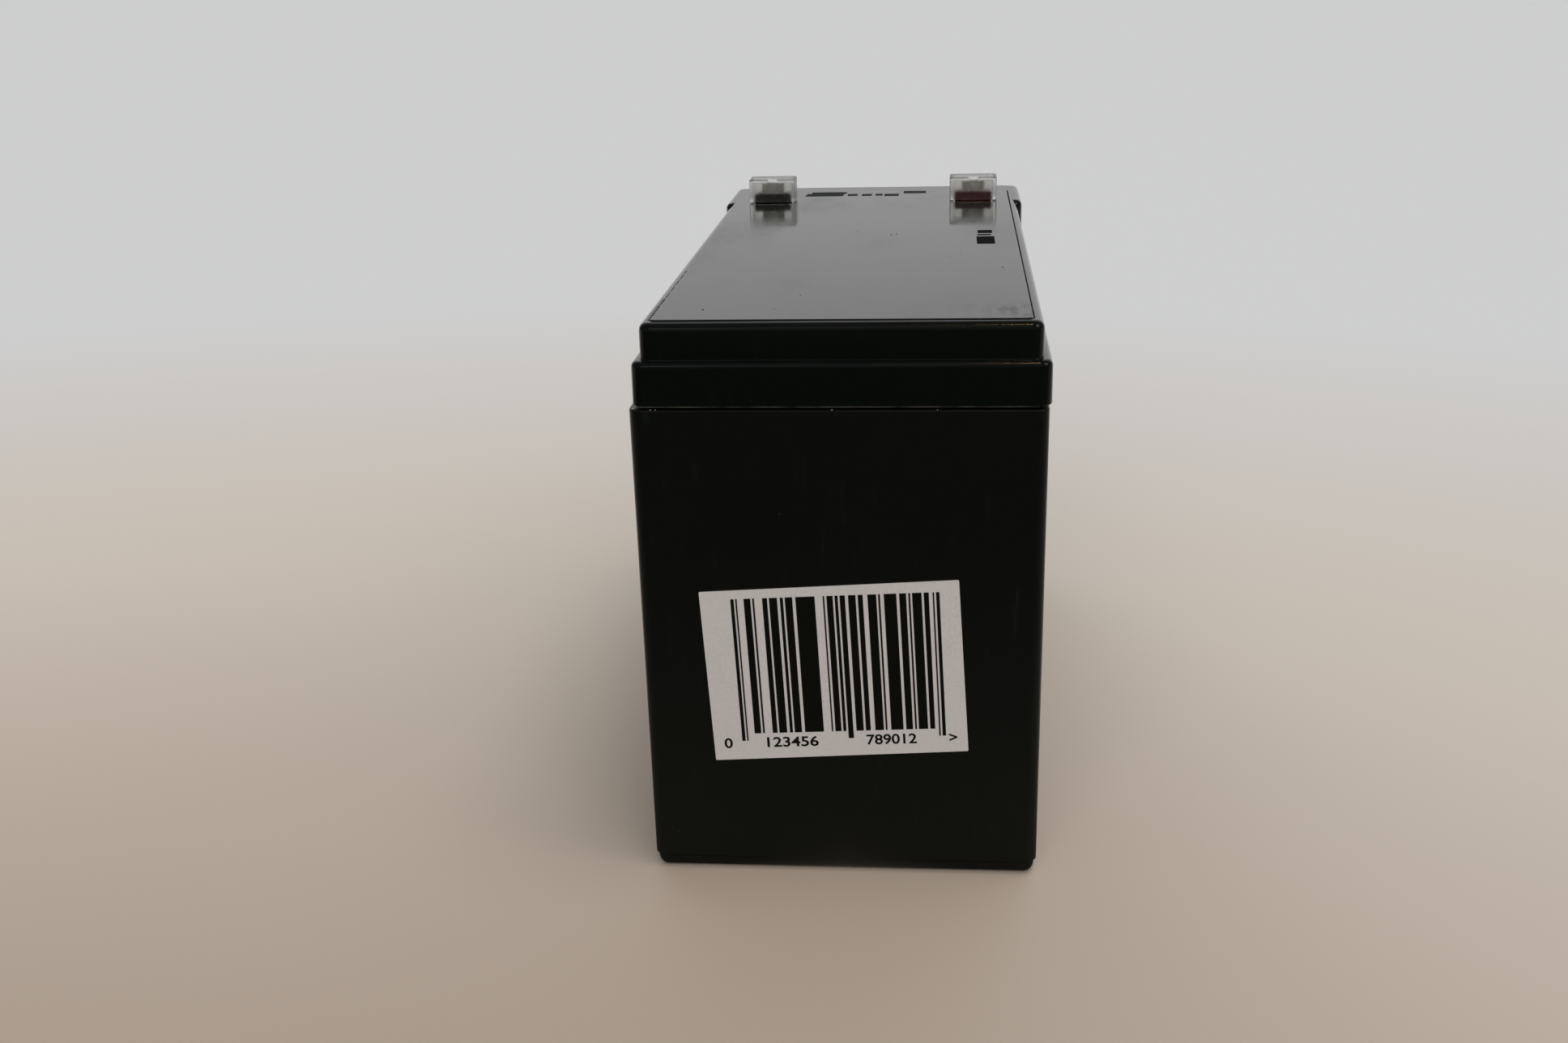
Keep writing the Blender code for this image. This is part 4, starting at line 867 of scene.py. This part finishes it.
def paper_floor(name):
    """Matt paper, warm and darker round one place with painted shade, pale further out, and painted dark in
    reflections in front.
    """
    material, tree, shader, place = start_material(name)
    away = add_node(
        tree, "ShaderNodeVectorMath",
        {"Vector": place, "Vector_001": WARM_CENTRE}, "Value", operation="DISTANCE",
    )
    to_middle = add_node(
        tree, "ShaderNodeMapRange",
        {"Value": away, "From Min": NEAR_RADIUS, "From Max": MIDDLE_RADIUS}, "Result",
    )
    # The darker near tone is partly the paper's beige and partly painted shade.
    warm = add_node(
        tree, "ShaderNodeMix",
        {
            "Factor_Float": to_middle,
            "A_Color": linear_colour(FLOOR_NEAR_SHADED), "B_Color": linear_colour(FLOOR_MIDDLE),
        },
        "Result_Color", data_type="RGBA",
    )
    to_far = add_node(
        tree, "ShaderNodeMapRange",
        {"Value": away, "From Min": MIDDLE_RADIUS, "From Max": FAR_RADIUS}, "Result",
    )
    paper = add_node(
        tree, "ShaderNodeMix",
        {"Factor_Float": to_far, "A_Color": warm, "B_Color": linear_colour(FLOOR_FAR)},
        "Result_Color", data_type="RGBA",
    )
    sideways = add_node(tree, "ShaderNodeSeparateXYZ", {"Vector": place}, "X")
    ahead = add_node(tree, "ShaderNodeSeparateXYZ", {"Vector": place}, "Y")
    aside = add_node(tree, "ShaderNodeMath", {"Value": sideways}, "Value", operation="ABSOLUTE")
    slanted = add_node(
        tree, "ShaderNodeMath",
        {"Value": aside, "Value_001": -EDGE_SLANT, "Value_002": ahead}, "Value", operation="MULTIPLY_ADD",
    )
    in_front = add_node(
        tree, "ShaderNodeMapRange",
        {"Value": slanted, "From Min": EDGE_BEGINS, "From Max": EDGE_FULL}, "Result",
    )
    darkness = add_node(
        tree, "ShaderNodeMapRange",
        {
            "Value": ahead, "From Min": EDGE_NEAR, "From Max": EDGE_FAR,
            "To Min": EDGE_FIRST_SHARE, "To Max": EDGE_LAST_SHARE,
        },
        "Result",
    )
    edge = add_node(
        tree, "ShaderNodeMath", {"Value": in_front, "Value_001": darkness}, "Value", operation="MULTIPLY"
    )
    # Only reflected rays see this painted dark edge; the camera sees the pale paper.
    mirrored = add_node(tree, "ShaderNodeLightPath", {}, "Is Glossy Ray")
    shown = add_node(
        tree, "ShaderNodeMath", {"Value": edge, "Value_001": mirrored}, "Value", operation="MULTIPLY"
    )
    colour = add_node(
        tree, "ShaderNodeMix",
        {"Factor_Float": shown, "A_Color": paper, "B_Color": linear_colour(PAINTED_REFLECTION_DARK)},
        "Result_Color", data_type="RGBA",
    )
    fill_inputs(tree, shader, {"Base Color": colour, "Roughness": 0.9, "Specular IOR Level": 0.1})
    return material


floor_shape = bmesh.new()
bmesh.ops.create_circle(floor_shape, cap_ends=True, segments=FLOOR_SIDES, radius=FLOOR_REACH)
floor_mesh = bpy.data.meshes.new("floor")
floor_shape.to_mesh(floor_mesh)
floor_shape.free()
floor_mesh.materials.append(paper_floor("matt paper"))
floor = bpy.data.objects.new("floor", floor_mesh)
bpy.context.scene.collection.objects.link(floor)

world = bpy.data.worlds.new("room")
world.use_nodes = True
room = world.node_tree
toward = add_node(room, "ShaderNodeTexCoord", {}, "Generated")
ahead = add_node(room, "ShaderNodeSeparateXYZ", {"Vector": toward}, "Y")
pale_ahead = add_node(
    room, "ShaderNodeMapRange",
    {"Value": ahead, "From Min": ROOM_DIM_BELOW, "From Max": ROOM_PALE_ABOVE}, "Result",
)
seen = add_node(room, "ShaderNodeLightPath", {}, "Is Camera Ray")
paleness = add_node(
    room, "ShaderNodeMath", {"Value": pale_ahead, "Value_001": seen}, "Value", operation="MAXIMUM"
)
room_colour = add_node(
    room, "ShaderNodeMix",
    {"Factor_Float": paleness, "A_Color": linear_colour(ROOM_DIM), "B_Color": linear_colour(ROOM_PALE)},
    "Result_Color", data_type="RGBA",
)
fill_inputs(room, room.nodes["Background"], {"Color": room_colour})
bpy.context.scene.world = world


def add_lamp(name, toward_right, height, strength, spread, colour):
    """A soft lamp far off. Its turn from behind the camera, its height and its spread are in degrees."""
    lamp = bpy.data.lights.new(name, "SUN")
    lamp.energy = strength
    lamp.color = colour
    lamp.angle = math.radians(spread)
    holder = bpy.data.objects.new(name, lamp)
    turn, tilt = math.radians(toward_right), math.radians(height)
    back = Vector((math.sin(turn) * math.cos(tilt), -math.cos(turn) * math.cos(tilt), math.sin(tilt)))
    holder.rotation_mode = "QUATERNION"
    holder.rotation_quaternion = back.to_track_quat("Z", "Y")
    bpy.context.scene.collection.objects.link(holder)
    return holder


main_light = add_lamp(
    "lamp high on the right", toward_right=80, height=74, strength=0.76, spread=26, colour=WARM_LIGHT
)
ceiling = add_lamp(
    "pale ceiling", toward_right=0, height=89, strength=0.62, spread=170, colour=WARM_LIGHT
)
sky = add_lamp(
    "sky beyond the battery", toward_right=180, height=55, strength=0.95, spread=60, colour=SKY_LIGHT
)
front_light = add_lamp(
    "broad soft light from the front", toward_right=8, height=37, strength=1.6, spread=60, colour=WHITE_LIGHT
)
for light in (main_light, ceiling, sky, front_light):
    light.visible_glossy = False
# These two would veil the blocks through the clear caps.
for light in (sky, front_light):
    light.visible_transmission = False
add_lamp(
    "window on the right", toward_right=66, height=38, strength=0.22, spread=30, colour=WHITE_LIGHT
)
add_lamp(
    "window behind the camera", toward_right=-5, height=40, strength=0.02, spread=30, colour=WHITE_LIGHT
)
add_lamp(
    "window behind on the left", toward_right=-17, height=40, strength=0.012, spread=10, colour=WHITE_LIGHT
)
add_lamp(
    "warm bulb behind the camera", toward_right=8.0, height=64, strength=0.06, spread=1.5, colour=BULB_LIGHT
)

camera_data = bpy.data.cameras.new("camera")
camera_data.lens = FOCAL_PIXELS / IMAGE_WIDTH_PIXELS * camera_data.sensor_width
camera_data.clip_start = NEAREST_SEEN
camera = bpy.data.objects.new("camera", camera_data)
turned = Matrix.Rotation(CAMERA_TURN, 4, "Z")
tipped = Matrix.Rotation(math.pi / 2 - CAMERA_DOWN, 4, "X")
rolled = Matrix.Rotation(-CAMERA_ROLL, 4, "Z")
camera.matrix_world = Matrix.Translation(CAMERA_PLACE) @ turned @ tipped @ rolled
bpy.context.scene.collection.objects.link(camera)
bpy.context.scene.camera = camera
bpy.context.scene.view_settings.view_transform = "Standard"
